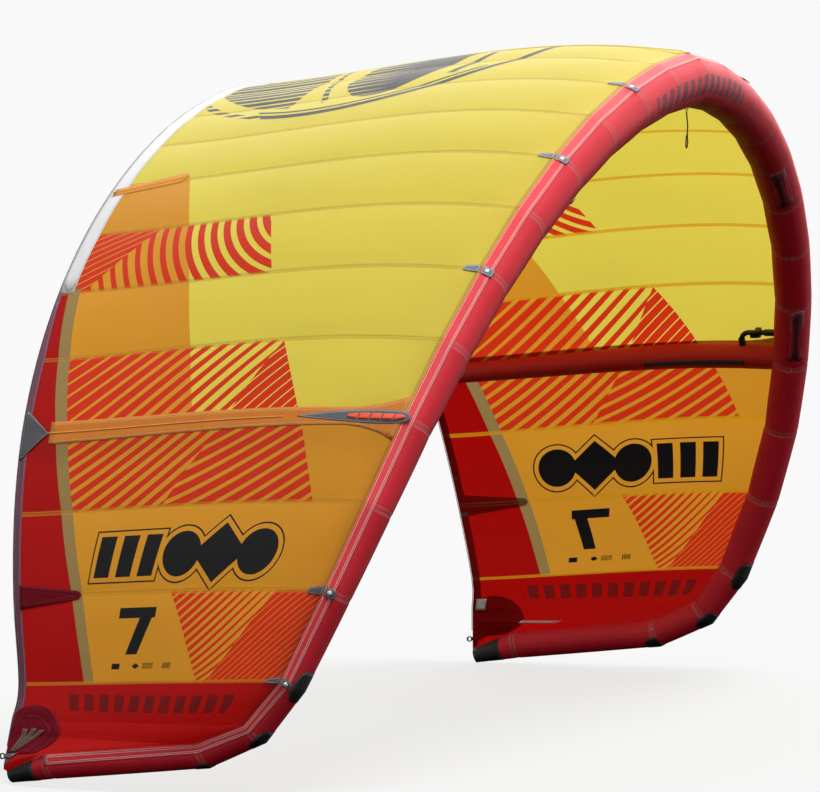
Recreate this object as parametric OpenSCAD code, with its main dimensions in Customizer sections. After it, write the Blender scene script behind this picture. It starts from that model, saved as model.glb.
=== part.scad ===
// Inflatable kitesurf kite, an open arch that hangs upright from its leading edge as it does on its lines.
// X runs along the span, -Y is the leading edge's side, +Y the trailing edge's side, +Z is up.
// The origin is the middle of the leading edge's axis.

/* [Arch] */
// Length of the first bay outboard of the middle
bay_len = 222; // [180:1:270]
// Growth of each next bay's length as far as joint 10
bay_grow = 4.2; // [0:0.1:8]
// Turn of the arch from the middle to the tip, in degrees
arch_turn = 116; // [95:1:122]
// Share of the turn that comes late, near the tip
arch_late = 0.2; // [0:0.01:0.4]
// Sweep of the leading edge at mid span, in degrees per half span
sweep_mid = 20; // [10:1:24]
// Extra sweep that grows with the cube of the span
sweep_out = 17.5; // [8:0.5:22]

/* [Canopy] */
// Chord in the middle, from the tube's axis to the trailing edge
chord_mid = 1450; // [1200:1:1700]
// Maximum camber as a share of the chord, in the middle
camber_mid = 0.035; // [0.03:0.005:0.1]
// Maximum camber as a share of the chord, at the tips
camber_tip = 0.022; // [0:0.005:0.05]
// Downward angle of the chord in the middle, in degrees
chord_dip = 1.5; // [-2:0.5:5]
// Thickness of the sewn canopy panels
cloth = 1; // [0.6:0.1:2]
// Gap at a sewn seam between neighbouring panels
seam_gap = 0.6; // [0.3:0.1:1.5]

/* [Tubes] */
// Radius of the leading edge in the middle
tube_r_mid = 76; // [60:1:92]
// Radius of the leading edge at the tip
tube_r_tip = 42; // [34:1:50]
// Wall of the casing cloth with its seams
casing_wall = 1.2; // [0.8:0.1:2]
// Wall of the bladders
bladder_wall = 0.8; // [0.5:0.1:1.5]
// Gap between a bladder and its casing
bladder_gap = 0.6; // [0.3:0.1:1.5]
// Radius of a strut at its front end
strut_r_front = 44; // [34:1:52]
// Radius of a strut at its rear end
strut_r_rear = 30; // [22:1:36]
// Length of the black cap on a strut's rear end
strut_cap_len = 60; // [30:1:90]

/* [Valve] */
// Inner radius of the inflation valve's nozzle bore
valve_bore_r = 9; // [7:0.5:11]
// Wall of the valve's neck
valve_wall = 2; // [1.5:0.1:3]
// Height of the valve's neck above its flange
valve_neck = 16; // [12:1:24]
// Radius of the valve's flange
valve_flange_r = 26; // [22:1:32]
// Thickness of the valve's flange
valve_flange_t = 2.5; // [1.5:0.1:4]

/* [Fittings] */
// Outer radius of a one-pump hose
hose_r = 8; // [6:0.5:10]
// Length of the free hose between its two elbows
hose_len = 60; // [40:1:90]
// Travel of a zip slider
zip_travel = 150; // [80:1:180]
// Width of a webbing tab
tab_w = 26; // [18:1:34]
// Radius of the line eye in a tip's steering loop
loop_eye_r = 6; // [4:0.5:8]
// Radius of the pump leash cord
leash_r = 2; // [1.5:0.1:3]

/* [Hidden] */
// Joints are numbered 0 in the middle to 15 at each tip
JOINTS = 15;
// Bay lengths and sweep angles outboard of joint 10, where the tube turns back under the tip
OUTER_BAYS = [275, 171, 173, 487, 141];
OUTER_SWEEP = [20, 24.5, 37.5, 65, 83, 72];
// How far down the tip's rear edge the chords of joints 12 to 15 end
TIP_EDGE = [0.42, 0.6, 0.85, 1];
// Angle round the tube where the canopy is sewn on, 90 is the top, at joints 11 to 15
SEW_ANGLE = [90, 72, 54, 36, 36];
// Sides of the tubes, and the angle of one side
SIDES = 20;
SIDE = 360 / SIDES;
// Divisions of a canopy panel along its chord
CHORD_STEPS = 10;
// Height of the canopy's front edge over the casing, which leaves room for sleeves and bands
SEW_LIFT = 2.2;
// Inner and outer height of a band or sleeve over the casing
BAND = [0.4, 1.6];
// Radius left at the flattened end of the tube
end_r = tube_r_tip / 2;
// Joint of the quarter struts, and the joints with webbing tabs
STRUT_JOINT = 8;
TAB_JOINTS = [2, 4, 6, 10, 11];

// Colours
RED = [0.85, 0.16, 0.2];
YELLOW = [0.9, 0.84, 0.38];
AMBER = [0.85, 0.62, 0.2];
DARK_RED = [0.6, 0.04, 0.07];
BLACK = [0.07, 0.07, 0.08];
GREY = [0.42, 0.43, 0.46];
ORANGE = [0.95, 0.42, 0.1];

function unit(v) = v / norm(v);
function mix(a, b, t) = a * (1 - t) + b * t;

// ---- The leading edge's axis ----
function bay(j) = j <= 10 ? bay_len + bay_grow * (j - 1) : OUTER_BAYS[j - 11];
function turn(s) = arch_turn * ((1 - arch_late) * s + arch_late * s * s);
function sweep(j) = j < 10 ? sweep_mid * j / JOINTS + sweep_out * pow(j / JOINTS, 3) : OUTER_SWEEP[j - 10];
function bay_dir(j) = let (a = sweep(j), b = turn(j / JOINTS)) [cos(a) * cos(b), sin(a), -cos(a) * sin(b)];
function axis_point(j) = j == 0 ? [0, 0, 0] : axis_point(j - 1) + bay(j) * bay_dir(j);
AXIS = [for (j = [0:JOINTS]) axis_point(j)];
ALONG = [for (j = [0:JOINTS])
    j == 0 ? [1, 0, 0] : j == JOINTS ? bay_dir(j) : unit(bay_dir(j) + bay_dir(j + 1))];
// Outward normal of the arch, square to the span only
function arch_turn_at(j) = j == 0 ? 0 : (turn((j - 1) / JOINTS) + turn(j / JOINTS)) / 2;
OUT = [for (j = [0:JOINTS]) [sin(arch_turn_at(j)), 0, cos(arch_turn_at(j))]];
SPAN = [for (j = [0:JOINTS]) [cos(arch_turn_at(j)), 0, -sin(arch_turn_at(j))]];
FRONT = [for (j = [0:JOINTS]) unit(cross(ALONG[j], OUT[j]))];
TOP = [for (j = [0:JOINTS]) cross(FRONT[j], ALONG[j])];
function tube_r(j) = j == JOINTS ? end_r : tube_r_tip + (tube_r_mid - tube_r_tip) * pow(1 - j / JOINTS, 1.2);

// A point on the tube: angle 0 is the rear, 90 the top, 180 the front, 270 underneath
function tube_at_joint(j, a, h) = AXIS[j] + (tube_r(j) + h) * (sin(a) * TOP[j] - cos(a) * FRONT[j]);
function lower(x) = min(floor(x), JOINTS - 1);
function tube_point(x, a, h) =
    mix(tube_at_joint(lower(x), a, h), tube_at_joint(lower(x) + 1, a, h), x - lower(x));
function tube_ring(x, h) = [for (k = [0:SIDES - 1]) tube_point(x, k * SIDE, h)];
function bay_at(x) = norm(AXIS[lower(x) + 1] - AXIS[lower(x)]);

// ---- The canopy's surface, x counts joints and v runs from the leading edge to the trailing edge ----
function chord(s) = chord_mid - 195 * s + 670 * s * s - 2000 * pow(s, 3);
function dip(s) = chord_dip + 8.5 * s * s;
function inner_edge(j) = AXIS[j]
    + chord(j / JOINTS) * (cos(dip(j / JOINTS)) * [0, 1, 0] - sin(dip(j / JOINTS)) * OUT[j])
    + 75 * pow(j / JOINTS, 3) * SPAN[j];
function sew_angle(j) = j < 11 ? 90 : SEW_ANGLE[j - 11];
SEWN = [for (j = [0:JOINTS]) tube_at_joint(j, sew_angle(j), SEW_LIFT + (j == 13 || j == 14 ? 4.5 : 0))];
corner = SEWN[JOINTS] + [0, 12, 6];
REAR = [for (j = [0:JOINTS]) j < 12 ? inner_edge(j) : mix(inner_edge(11), corner, TIP_EDGE[j - 12])];
function camber(j) = mix(camber_mid, camber_tip, j / JOINTS) * norm(REAR[j] - SEWN[j]);
function cloth_curve(j, v) = mix(SEWN[j], REAR[j], v) + camber(j) * 6.75 * v * (1 - v) * (1 - v) * OUT[j];
// The curve is cut into straight steps, so that everything sewn on it lies on the same facets
function cloth_at_joint(j, v) = let (k = max(min(floor(v * CHORD_STEPS), CHORD_STEPS - 1), 0))
    mix(cloth_curve(j, k / CHORD_STEPS), cloth_curve(j, (k + 1) / CHORD_STEPS), v * CHORD_STEPS - k);
// Chord stations from a to b with every step between them
function chord_run(a, b) = concat([a], [for (k = [0:CHORD_STEPS]) let (v = k / CHORD_STEPS)
    if (v > a + 0.004 && v < b - 0.004) v], [b]);
function cloth_point(x, v) = mix(cloth_at_joint(lower(x), v), cloth_at_joint(lower(x) + 1, v), x - lower(x));
// The right half's surface carried over to the left at negative x
function skin(x, v) = x < 0 ? let (p = cloth_point(-x, v)) [-p[0], p[1], p[2]] : cloth_point(x, v);
function skin_out(x, v) = let (along = skin(x + 0.05, v) - skin(x - 0.05, v))
    unit(cross(along, skin(x, v + 0.01) - skin(x, v - 0.01)));
function skin_up(x, v) = skin_out(max(min(x, 14.94), -14.94), max(min(v, 0.985), 0.015));
function skin_lift(x, v, h) = skin(x, v) + h * skin_up(x, v);

// ---- Closed solids from grids of points ----
// A solid between two grids of the same size, lower and upper, each a list of rows
module slab(low, high) {
    rows = len(low);
    cols = len(low[0]);
    n = rows * cols;
    points = concat([for (r = low) each r], [for (r = high) each r]);
    rim = concat([for (c = [0:cols - 1]) c], [for (r = [1:rows - 1]) r * cols + cols - 1],
                 [for (c = [cols - 2:-1:0]) (rows - 1) * cols + c], [for (r = [rows - 2:-1:1]) r * cols]);
    cells = [for (r = [0:rows - 2], c = [0:cols - 2]) let (q = r * cols + c)
        [q, q + 1, q + cols + 1, q + cols]];
    polyhedron(points = points, convexity = 6, faces = concat(
        [for (q = cells) each [[q[2], q[1], q[0]], [q[3], q[2], q[0]]]],
        [for (q = cells) each [[n + q[0], n + q[1], n + q[2]], [n + q[0], n + q[2], n + q[3]]]],
        [for (i = [0:len(rim) - 1]) let (a = rim[i], b = rim[(i + 1) % len(rim)])
            each [[n + a, a, b], [n + b, n + a, b]]]));
}

// A hollow tube between matching outer and inner rings, open at both ends
module sleeve(outer, inner) {
    rings = len(outer);
    m = len(outer[0]);
    n = rings * m;
    points = concat([for (r = outer) each r], [for (r = inner) each r]);
    polyhedron(points = points, convexity = 6, faces = concat(
        [for (i = [0:rings - 2], k = [0:m - 1]) let (a = i * m + k, b = i * m + (k + 1) % m)
            each [[b + m, b, a], [a + m, b + m, a]]],
        [for (i = [0:rings - 2], k = [0:m - 1]) let (a = n + i * m + k, b = n + i * m + (k + 1) % m)
            each [[a, b, b + m], [a, b + m, a + m]]],
        [for (k = [0:m - 1]) let (l = (k + 1) % m) each [[n + k, k, l], [n + l, n + k, l]]],
        [for (k = [0:m - 1]) let (a = n - m + k, b = n - m + (k + 1) % m)
            each [[n + a, b, a], [n + a, n + b, b]]]));
}

// A solid rod through its rings, closed at both ends
module rod(rings) {
    m = len(rings[0]);
    last = len(rings) - 1;
    polyhedron(points = [for (r = rings) each r], convexity = 6, faces = concat(
        [for (i = [0:last - 1], k = [0:m - 1]) let (a = i * m + k, b = i * m + (k + 1) % m)
            each [[b + m, b, a], [a + m, b + m, a]]],
        [[for (k = [0:m - 1]) k]], [[for (k = [m - 1:-1:0]) last * m + k]]));
}

// Thin solid on the canopy over a grid of [x, v] rows, between two heights
module on_canopy(grid, h) {
    slab([for (r = grid) [for (p = r) skin_lift(p[0], p[1], h[0])]],
         [for (r = grid) [for (p = r) skin_lift(p[0], p[1], h[1])]]);
}

// Thin solid on the tube over x and rising angle lists, between two heights
module on_tube(xs, angles, h) {
    back = [for (k = [len(angles) - 1:-1:0]) angles[k]];
    slab([for (x = xs) [for (a = back) tube_point(x, a, h[0])]],
         [for (x = xs) [for (a = back) tube_point(x, a, h[1])]]);
}

// Moves children to a point with their Z along d and their X near s
module stand(p, d, s) {
    z = unit(d);
    y = unit(cross(z, s));
    x = cross(y, z);
    multmatrix([[x[0], y[0], z[0], p[0]], [x[1], y[1], z[1], p[1]],
                [x[2], y[2], z[2], p[2]], [0, 0, 0, 1]])
        children();
}

// ---- Leading edge ----
module le_casing(from, to) {
    color(RED)
    for (j = [from + 1:to]) {
        g = seam_gap / 2 / bay(j);
        sleeve([tube_ring(j - 1 + g, 0), tube_ring(j - g, 0)],
               [tube_ring(j - 1 + g, -casing_wall), tube_ring(j - g, -casing_wall)]);
    }
}

module le_casing_centre() {
    le_casing(0, 2);
    mirror([1, 0, 0]) le_casing(0, 2);
}

function half_rings(h) = [for (j = [0:JOINTS - 1]) tube_ring(j, h)];

module le_bladder() {
    out_h = -casing_wall - bladder_gap;
    color([0.8, 0.8, 0.85])
    for (side = [0, 1]) mirror([side, 0, 0])
        sleeve(half_rings(out_h), half_rings(out_h - bladder_wall));
}

module scuff_bands() {
    color(BLACK)
    for (j = [11, 12, 13]) {
        half = 42 / bay_at(j);
        on_tube([j - half, j, j + half], [for (k = [6:14]) k * SIDE], BAND);
    }
}

module tip_sleeve() {
    start = 14.35;
    tip = [for (p = tube_ring(JOINTS, BAND[1])) p + 3 * ALONG[JOINTS]];
    color(BLACK) {
        sleeve([tube_ring(start, BAND[1]), tube_ring(JOINTS, BAND[1])],
               [tube_ring(start, BAND[0]), tube_ring(JOINTS, BAND[0])]);
        rod([[for (p = tube_ring(JOINTS, BAND[1])) p + 0.2 * ALONG[JOINTS]], tip]);
    }
}

// ---- Struts ----
// The chord station where a strut's rear end stops
STRUT_END = 0.985;
function strut_r(v) = mix(strut_r_front, strut_r_rear, v);
function strut_axis(j, v) = skin_lift(j, v, -(strut_r(v) + 1.5));
function strut_side(j) = unit(skin(j + 0.05, 0.5) - skin(j - 0.05, 0.5));
function strut_ring(j, v, h) = [for (k = [0:SIDES - 1])
    strut_axis(j, v) + (strut_r(v) + h) * (sin(k * SIDE) * skin_up(j, v) + cos(k * SIDE) * strut_side(j))];
STRUT_STEPS = [0.1, 0.2, 0.3, 0.4, 0.5, 0.6, 0.7, 0.8, 0.9];
STRUT_PLAY = 3;
cap_start = STRUT_END - strut_cap_len / chord_mid;

// Where a line from p along d leaves the leading edge's tube at joint j, with STRUT_PLAY to spare
function saddle(p, d, j) =
    let (u = ALONG[j], w = p - AXIS[j], wp = w - (w * u) * u, dp = d - (d * u) * u,
         a = dp * dp, b = 2 * (wp * dp), c = wp * wp - pow(tube_r(j) + STRUT_PLAY, 2))
    p + d * (-b + sqrt(max(b * b - 4 * a * c, 0))) / (2 * a);
// The strut's front rim, shaped to sit against the tube
function strut_front(j, h) =
    let (near = strut_ring(j, STRUT_STEPS[0], h), front = strut_ring(j, 0.02, h))
    [for (k = [0:SIDES - 1]) saddle(near[k], unit(near[k] - front[k]), j)];

module strut_casing(j) {
    stations = concat(STRUT_STEPS, [cap_start, STRUT_END]);
    color(RED)
    sleeve(concat([strut_front(j, 0)], [for (v = stations) strut_ring(j, v, 0)]),
           concat([strut_front(j, -casing_wall)], [for (v = stations) strut_ring(j, v, -casing_wall)]));
}

module strut_bladder(j) {
    stations = concat(STRUT_STEPS, [cap_start]);
    h = -casing_wall - bladder_gap;
    color([0.8, 0.8, 0.85])
    sleeve([for (v = stations) strut_ring(j, v, h)], [for (v = stations) strut_ring(j, v, h - bladder_wall)]);
}

module strut_bladders() {
    for (j = [-STRUT_JOINT, 0, STRUT_JOINT]) strut_bladder(j);
}

module strut_cap(j) {
    along = unit(strut_axis(j, STRUT_END) - strut_axis(j, 0.9));
    end = strut_ring(j, STRUT_END, BAND[1] / 2);
    color(BLACK) {
        sleeve([strut_ring(j, cap_start, BAND[1] / 2), end],
               [strut_ring(j, cap_start, BAND[0]), strut_ring(j, STRUT_END, BAND[0])]);
        rod([[for (p = end) p + 0.2 * along], [for (p = end) p + 4 * along]]);
    }
}

module strut_caps() {
    for (j = [-STRUT_JOINT, 0, STRUT_JOINT]) strut_cap(j);
}

// Strip of cloth sewn over the canopy along a strut
FAIRING_HALF = 26;
// It spreads toward the leading edge
function fairing_half(v) = FAIRING_HALF + 34 * max(0, 1 - v / 0.1);
module fairing(j) {
    color(ORANGE)
    on_canopy([for (k = [-1, 0, 1]) [for (v = chord_run(0.03, 0.925))
        [j + k * fairing_half(v) / bay_at(abs(j)), v]]], [cloth + 1.3, cloth + 1.9]);
}

// Long pointed patch at the front of a quarter strut, under its rubber bumper
BASE_FROM = 0.004;
BASE_TO = 0.25;
function base_half(t) = 21 * pow(sin(180 * pow(t, 0.62)), 0.8) + 3;
BASE_CUTS = 12;
function base_v(m) = mix(BASE_FROM, BASE_TO, m / BASE_CUTS);
base_run = [for (m = [0:BASE_CUTS - 1]) for (v = chord_run(base_v(m), base_v(m + 1)))
    if (m == BASE_CUTS - 1 || v < base_v(m + 1)) v];
module bumper_base(j) {
    color(GREY)
    on_canopy([for (k = [-1, 0, 1]) [for (v = base_run)
        [j + k * base_half((v - BASE_FROM) / (BASE_TO - BASE_FROM)) / bay_at(abs(j)), v]]],
        [cloth + 2.3, cloth + 3.1]);
}

module bumper_bases() {
    for (j = [-STRUT_JOINT, STRUT_JOINT]) bumper_base(j);
}

BUMPER_FROM = 0.014;
BUMPER_PITCH = 0.028;
module bumper(j) {
    half = 9 / bay_at(abs(j));
    color(ORANGE)
    for (i = [0:4]) {
        v = BUMPER_FROM + i * BUMPER_PITCH;
        on_canopy([for (k = [-1, -0.6, 0, 0.6, 1]) [for (w = [0, 0.2, 0.8, 1])
            [j + k * half, v + w * BUMPER_PITCH * 0.9]]], [cloth + 3.5, cloth + 8]);
    }
}

module bumpers() {
    for (j = [-STRUT_JOINT, STRUT_JOINT]) bumper(j);
}

// ---- Canopy ----
module canopy(from, to, tint) {
    color(tint)
    for (j = [from + 1:to]) {
        g = seam_gap / 2 / bay_at(j - 0.5);
        on_canopy([for (x = [j - 1 + g, j - g])
            [for (i = [0:CHORD_STEPS]) [x, i / CHORD_STEPS]]], [0, cloth]);
    }
}

module canopy_centre() {
    canopy(0, 4, YELLOW);
    mirror([1, 0, 0]) canopy(0, 4, YELLOW);
}

// Band of heavier cloth along the trailing edge
BAND_W = 55;
module te_band(from, to, v_end) {
    color([0.8, 0.8, 0.8])
    for (j = [from + 1:to]) {
        w = BAND_W / norm(REAR[j] - SEWN[j]);
        g = seam_gap / 2 / bay_at(j - 0.5);
        on_canopy([for (x = [j - 1 + g, j - g]) [[x, v_end - w], [x, v_end]]], [cloth + 0.4, cloth + 1]);
    }
}

module te_band_centre() {
    te_band(0, 6, 1);
    mirror([1, 0, 0]) te_band(0, 6, 1);
}

// Dark triangle where a quarter strut meets the trailing edge, and the rounded patch further out
module te_patches() {
    for (side = [0, 1]) mirror([side, 0, 0]) {
        color(GREY) on_canopy([for (k = [-1, 0, 1]) [for (t = [0, 0.5, 1])
            [STRUT_JOINT + k * 0.3 * (0.15 + 0.85 * t), mix(0.93, 0.998, t)]]], [cloth + 1.4, cloth + 2.2]);
        color(DARK_RED)
        on_canopy([for (k = [-1, 0, 1]) [for (v = chord_run(0.79, 0.995)) let (t = (v - 0.79) / 0.205)
            [10 + k * 0.12 * (0.1 + 0.9 * pow(t, 0.7)), v]]], [cloth + 1.4, cloth + 2.2]);
    }
}

// D-shaped doubling at the rear corner of a tip
module tip_patches() {
    for (side = [0, 1]) mirror([side, 0, 0])
        color(DARK_RED) on_canopy([for (x = [12.05, 12.5, 12.95]) [for (v = chord_run(0.78, 0.985)) [x, v]]],
                                  [cloth + 0.6, cloth + 1.4]);
}

// Ring of webbing at a tip's rear corner, where a steering line is tied
LOOP_W = 10;
LOOP_WALL = 3;
LOOP_GAP = 1.5;
loop_at = REAR[14] + [0, loop_eye_r + LOOP_WALL + LOOP_GAP, 0];
module steering_loops() {
    tab_end = 1 + (LOOP_GAP - 0.3) / norm(REAR[14] - SEWN[14]);
    for (side = [0, 1]) mirror([side, 0, 0]) color(BLACK) {
        stand(loop_at - [LOOP_W / 2, 0, 0], [1, 0, 0], [0, 1, 0])
            ring(loop_eye_r + LOOP_WALL, loop_eye_r, LOOP_W);
        on_canopy([for (x = [13.88, 14.12]) [for (v = [0.75, tab_end]) [x, v]]], [cloth + 1.6, cloth + 3]);
    }
}

// Webbing tab with a finger back along the seam and a square end down the front of the tube
TAB_FINGER = 45;
module tabs() {
    for (side = [0, 1]) mirror([side, 0, 0]) color(GREY)
        for (j = TAB_JOINTS) {
            half = tab_w / 2 / bay_at(j);
            reach = TAB_FINGER / norm(REAR[j] - SEWN[j]);
            on_canopy([for (k = [-1, 0, 1]) [for (v = chord_run(0.004, reach))
                [j + k * half * (1 - 0.5 * pow(v / reach, 2)), v]]], [cloth + 0.6, cloth + 1.8]);
            on_tube([j - half, j, j + half], [100, 108, 122], [cloth + 2.4, cloth + 3.6]);
        }
}

// ---- Trailing-edge battens ----
BATTEN_X = 3.96;
BATTEN_V = [0.84, 0.9, 0.95, 0.985];
BATTEN_R = 2;
function cord_ring(p, d, r, sides) = let (x = unit(cross(d, [0.31, 0.12, 0.94])), y = cross(d, x))
    [for (k = [0:sides - 1]) p + r * (cos(k * 360 / sides) * x + sin(k * 360 / sides) * y)];
function route_dir(pts, i) = unit(pts[min(i + 1, len(pts) - 1)] - pts[max(i - 1, 0)]);
function route_rings(pts, r, sides) =
    [for (i = [0:len(pts) - 1]) cord_ring(pts[i], route_dir(pts, i), r, sides)];

module battens() {
    for (side = [0, 1]) mirror([side, 0, 0]) color(GREY)
        rod(route_rings([for (v = BATTEN_V) skin_lift(BATTEN_X, v, cloth + BATTEN_R + 1.2)], BATTEN_R, 8));
}

module batten_pockets() {
    half = 15 / bay_at(BATTEN_X);
    for (side = [0, 1]) mirror([side, 0, 0]) color(AMBER)
        on_canopy([for (k = [-1, 0, 0.5]) [for (v = BATTEN_V) [BATTEN_X + k * half, v]]],
                  [cloth + 2 * BATTEN_R + 1.8, cloth + 2 * BATTEN_R + 2.4]);
}

// Thin cord in the trailing edge's hem
LEECH_R = 1;
module leech_line() {
    points = [for (x = [-13.5:0.5:13.5]) skin(x, 1) + [0, LEECH_R + 1.5, 0]];
    color(BLACK) rod(route_rings(points, LEECH_R, 6));
}

module care_labels() {
    color([0.92, 0.92, 0.9]) {
        on_canopy([for (x = [11.6, 11.9]) [[x, 0.91], [x, 0.97]]], [-1.6, -0.8]);
        on_canopy([for (x = [12.2, 12.5]) [[x, 0.81], [x, 0.89]]], [-1.6, -0.8]);
    }
}

// ---- A small hinge: a pin between two cheeks, and the knuckle that turns on it ----
PIN_R = 1.2;
PIN_PLAY = 0.08;
KNUCKLE_R = 2.8;
KNUCKLE_W = 8;
CHEEK_T = 2;
HINGE_SIDE_PLAY = 0.4;
// Along Y, with the cheeks' webs reaching down by drop
module hinge_cheeks(drop) {
    full = KNUCKLE_W + 2 * (CHEEK_T + HINGE_SIDE_PLAY);
    rotate([90, 0, 0]) cylinder(r = PIN_R, h = full, center = true, $fn = 32);
    for (side = [-1, 1]) translate([0, side * (full - CHEEK_T) / 2, 0]) {
        rotate([90, 0, 0]) cylinder(r = KNUCKLE_R, h = CHEEK_T, center = true, $fn = 32);
        translate([-KNUCKLE_R, -CHEEK_T / 2, -drop]) cube([2 * KNUCKLE_R, CHEEK_T, drop]);
    }
}

// The knuckle with an arm that reaches toward +X by reach, level with the pin's top
module hinge_knuckle(reach, arm_t) {
    rotate([90, 0, 0]) difference() {
        union() {
            cylinder(r = KNUCKLE_R, h = KNUCKLE_W, center = true, $fn = 32);
            translate([0, KNUCKLE_R - arm_t, -KNUCKLE_W / 2]) cube([reach, arm_t, KNUCKLE_W]);
        }
        cylinder(r = PIN_R + PIN_PLAY, h = KNUCKLE_W + 2, center = true, $fn = 32);
    }
}

// ---- Inflation valve, on the back of the tube beside the centre strut ----
VALVE_X = 0.72;
VALVE_ANGLE = 333;
CAP_T = 3;
neck_r = valve_bore_r + valve_wall;
valve_top = valve_flange_t + valve_neck;
hinge_x = -(neck_r + KNUCKLE_R + 1);
// The hinge's pin is level with the cap's underside less the knuckle, so the cap lies flat on the neck
hinge_z = valve_top + CAP_T - KNUCKLE_R;
valve_axis_at = mix(AXIS[0], AXIS[1], VALVE_X);
valve_out = unit(tube_point(VALVE_X, VALVE_ANGLE, 0) - valve_axis_at);

module at_valve() {
    mirror([1, 0, 0]) stand(tube_point(VALVE_X, VALVE_ANGLE, 0.5), valve_out, cross(valve_out, ALONG[0]))
        children();
}

module valve_body() {
    color(BLACK) at_valve() {
        difference() {
            union() {
                cylinder(r = valve_flange_r, h = valve_flange_t, $fn = 64);
                cylinder(r = neck_r, h = valve_top, $fn = 64);
                translate([hinge_x, -KNUCKLE_W / 2 - 3, valve_flange_t])
                cube([-hinge_x - neck_r + 3, KNUCKLE_W + 6, valve_neck - 9]);
            }
            translate([0, 0, -1]) cylinder(r = valve_bore_r, h = valve_top + 2, $fn = 64);
        }
        translate([hinge_x, 0, hinge_z]) hinge_cheeks(hinge_z - valve_flange_t);
    }
}

module valve_cap() {
    color([0.2, 0.2, 0.22]) at_valve() {
        translate([0, 0, valve_top + 0.2]) cylinder(r = neck_r + 0.5, h = CAP_T - 0.2, $fn = 64);
        translate([neck_r, -4, valve_top + 0.2]) cube([5, 8, CAP_T - 0.2]);
        translate([hinge_x, 0, hinge_z]) hinge_knuckle(KNUCKLE_R + 3, CAP_T - 0.2);
    }
}

// ---- One-pump hoses: from a fitting on a strut's side round to one on the leading edge ----
HOSE_WALL = 2;
HOSE_BEND = 30;
FITTING_WALL = 3;
FITTING_OUT = 14;
COLLAR_LEN = 8;
function hose_v(j) = (tube_r(j) + FITTING_OUT + hose_len + HOSE_BEND) / norm(REAR[j] - SEWN[j]);
function strut_dir(j) = unit(strut_axis(j, hose_v(j) + 0.03) - strut_axis(j, hose_v(j) - 0.03));
// The side of the strut that its hose lies on: 1 is outboard, -1 is inboard
function hose_side(j) = j == 0 ? 1 : -1;
function hose_out(j) = hose_side(j) * unit(strut_side(j) - (strut_side(j) * strut_dir(j)) * strut_dir(j));

module at_hose(j) {
    d = strut_dir(j);
    o = hose_out(j);
    z = hose_side(j) * cross(d, o);
    p = strut_axis(j, hose_v(j)) + (strut_r(hose_v(j)) + FITTING_OUT) * o;
    multmatrix([[d[0], o[0], z[0], p[0]], [d[1], o[1], z[1], p[1]],
                [d[2], o[2], z[2], p[2]], [0, 0, 0, 1]])
        children();
}

module on_each_strut() {
    at_hose(0) children();
    at_hose(STRUT_JOINT) children();
    mirror([1, 0, 0]) at_hose(STRUT_JOINT) children();
}

module ring(outer, inner, h) {
    difference() {
        cylinder(r = outer, h = h, $fn = 40);
        translate([0, 0, -1]) cylinder(r = inner, h = h + 2, $fn = 40);
    }
}

// In the hose's frame X runs rearward along the strut, Y away from it and Z away from the canopy
module hose() {
    translate([-HOSE_BEND, 0, 0]) rotate_extrude(angle = 90, $fn = 64) translate([HOSE_BEND, 0])
        difference() {
            circle(r = hose_r, $fn = 32);
            circle(r = hose_r - HOSE_WALL, $fn = 32);
        }
    translate([-HOSE_BEND, HOSE_BEND, 0]) rotate([0, -90, 0]) ring(hose_r, hose_r - HOSE_WALL, hose_len);
}

module hoses() {
    color(BLACK) on_each_strut() hose();
}

module hose_fitting_pair(j) {
    bay_from = j == 0 ? 0 : j - 1;
    outer = hose_r + FITTING_WALL;
    difference() {
        at_hose(j) translate([0, -0.3, 0]) rotate([90, 0, 0])
            cylinder(r = outer, h = FITTING_OUT + 12, $fn = 40);
        stand(strut_axis(j, hose_v(j)) - 60 * strut_dir(j), strut_dir(j), [1, 0, 0])
            cylinder(r = strut_r(hose_v(j)) + 1.6, h = 120, $fn = 64);
    }
    difference() {
        at_hose(j) translate([-HOSE_BEND - hose_len - 0.3, HOSE_BEND, 0]) rotate([0, -90, 0])
            cylinder(r = outer, h = 60, $fn = 40);
        stand(AXIS[bay_from], AXIS[bay_from + 1] - AXIS[bay_from], [0, 1, 0])
            cylinder(r1 = tube_r(bay_from) + 0.6, r2 = tube_r(bay_from + 1) + 0.6,
                     h = norm(AXIS[bay_from + 1] - AXIS[bay_from]), $fn = 64);
    }
    at_hose(j) {
        translate([0, COLLAR_LEN - 0.3, 0]) rotate([90, 0, 0]) ring(outer, hose_r + 1.2, COLLAR_LEN);
        translate([-HOSE_BEND - hose_len + COLLAR_LEN - 0.3, HOSE_BEND, 0]) rotate([0, -90, 0])
            ring(outer, hose_r + 0.2, COLLAR_LEN);
    }
}

module hose_fittings() {
    color([0.2, 0.2, 0.22]) {
        hose_fitting_pair(0);
        hose_fitting_pair(STRUT_JOINT);
        mirror([1, 0, 0]) hose_fitting_pair(STRUT_JOINT);
    }
}

// Pinch clip: a frame round the hose's straight stretch with a lever hinged on top
CLIP_L = 18;
CLIP_WALL = 4;
clip_side = 2 * (hose_r + CLIP_WALL);
clip_mid = [-HOSE_BEND - hose_len / 2, HOSE_BEND, 0];
clip_pin = [-CLIP_L / 2 + KNUCKLE_R, 0, clip_side / 2 + KNUCKLE_R + 0.4];
LEVER_T = 2.4;

module clip_frame() {
    translate(clip_mid) {
        difference() {
            cube([CLIP_L, clip_side, clip_side], center = true);
            rotate([0, 90, 0]) cylinder(r = hose_r + 0.2, h = CLIP_L + 2, center = true, $fn = 40);
        }
        translate(clip_pin) hinge_cheeks(KNUCKLE_R + 0.5);
    }
}

module clip_frames() {
    color([0.85, 0.4, 0.1]) on_each_strut() clip_frame();
}

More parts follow.
